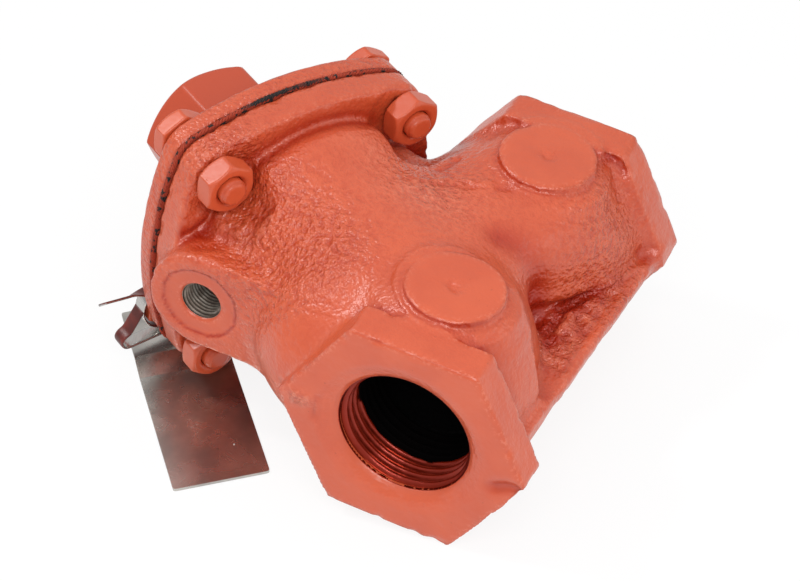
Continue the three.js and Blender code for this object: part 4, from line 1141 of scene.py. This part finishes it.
# Camera, in the pipe frame, its place in hexagon widths from the outlet face
FOCAL_PIXELS = 3094.25
PHOTO_WIDTH = 800
SENSOR_WIDTH = 36
RIGHT = Vector((0.4131652, -0.90377772, 0.11171551))
DOWN = Vector((-0.5788068, -0.35533019, -0.73397761))
AHEAD = Vector((0.7030485, 0.23859231, -0.66992276))
EYE = Vector((-8.7847, -2.8841, 9.1830))
optics = bpy.data.cameras.new("camera")
optics.sensor_width = SENSOR_WIDTH
optics.lens = FOCAL_PIXELS / PHOTO_WIDTH * SENSOR_WIDTH
optics.clip_end = 10
camera = bpy.data.objects.new("camera", optics)
link(camera)
turn = PIPE.to_3x3() * METRE
pose = Matrix((turn @ RIGHT, -(turn @ DOWN), -(turn @ AHEAD))).transposed().to_4x4()
camera.matrix_world = Matrix.Translation(PIPE @ (EYE * HEX_FLATS + Vector((OUTLET_X, 0, 0)))) @ pose
bpy.context.scene.camera = camera

# Floor and light
FLOOR_HALF = 3
PAPER_WHITE = (0.92, 0.92, 0.92)
PAPER_GLOW = 0.88
SKY_RANGE = {"From Min": -0.1, "From Max": 0.9, "To Min": 0.41, "To Max": 0.83}
ground = bpy.data.meshes.new("floor")
corners = [(FLOOR_HALF * x, FLOOR_HALF * y, 0) for x, y in ((-1, -1), (1, -1), (1, 1), (-1, 1))]
ground.from_pydata(corners, [], [(0, 1, 2, 3)])
floor = bpy.data.objects.new("floor", ground)
link(floor)
paper = Finish("white_sweep", Roughness=0.9, Specular_IOR_Level=0.1)
seen = paper.node("ShaderNodeLightPath", output="Is Camera Ray")
seen = seen.math("MAXIMUM", paper.node("ShaderNodeLightPath", output="Is Glossy Ray"))
paper.colour(PAPER_WHITE)
glow = paper.tree.nodes.new("ShaderNodeEmission")
blend = paper.tree.nodes.new("ShaderNodeMixShader")
paper.feed(blend.inputs[0], seen * PAPER_GLOW)
wires = paper.tree.links
wires.new(paper.shader.outputs[0], blend.inputs[1])
wires.new(glow.outputs[0], blend.inputs[2])
wires.new(blend.outputs[0], paper.tree.nodes["Material Output"].inputs[0])
ground.materials.append(paper.material)


def lamp(name, at, size, power, towards=(0, 0, 0.03)):
    """A soft box that looks at the trap."""
    data = bpy.data.lights.new(name, "AREA")
    data.shape = "RECTANGLE"
    data.size, data.size_y = size
    data.energy = power
    holder = bpy.data.objects.new(name, data)
    holder.location = at
    holder.rotation_euler = (Vector(towards) - Vector(at)).to_track_quat("-Z", "Y").to_euler()
    link(holder)


lamp("front", (-0.26, -0.16, 0.34), (0.25, 0.20), 0.85)
lamp("right", (0.12, -0.42, 0.20), (0.30, 0.20), 0.22)
lamp("spark", (-0.12, 0.60, 0.88), (0.13, 0.13), 2.8)
world = bpy.data.worlds.new("studio")
bpy.context.scene.world = world
world.use_nodes = True
sky = world.node_tree.nodes
wires = world.node_tree.links
direction = sky.new("ShaderNodeTexCoord")
parts = sky.new("ShaderNodeSeparateXYZ")
level = sky.new("ShaderNodeMapRange")
for key, value in SKY_RANGE.items():
    level.inputs[key].default_value = value
wires.new(direction.outputs["Generated"], parts.inputs[0])
wires.new(parts.outputs["Z"], level.inputs["Value"])
white = sky.new("ShaderNodeMath")
white.operation = "MAXIMUM"
wires.new(level.outputs[0], white.inputs[0])
wires.new(sky.new("ShaderNodeLightPath").outputs["Is Camera Ray"], white.inputs[1])
wires.new(white.outputs[0], sky["Background"].inputs["Strength"])
sky["Background"].inputs["Color"].default_value = (1, 1, 1, 1)
bpy.context.scene.view_settings.view_transform = "Standard"
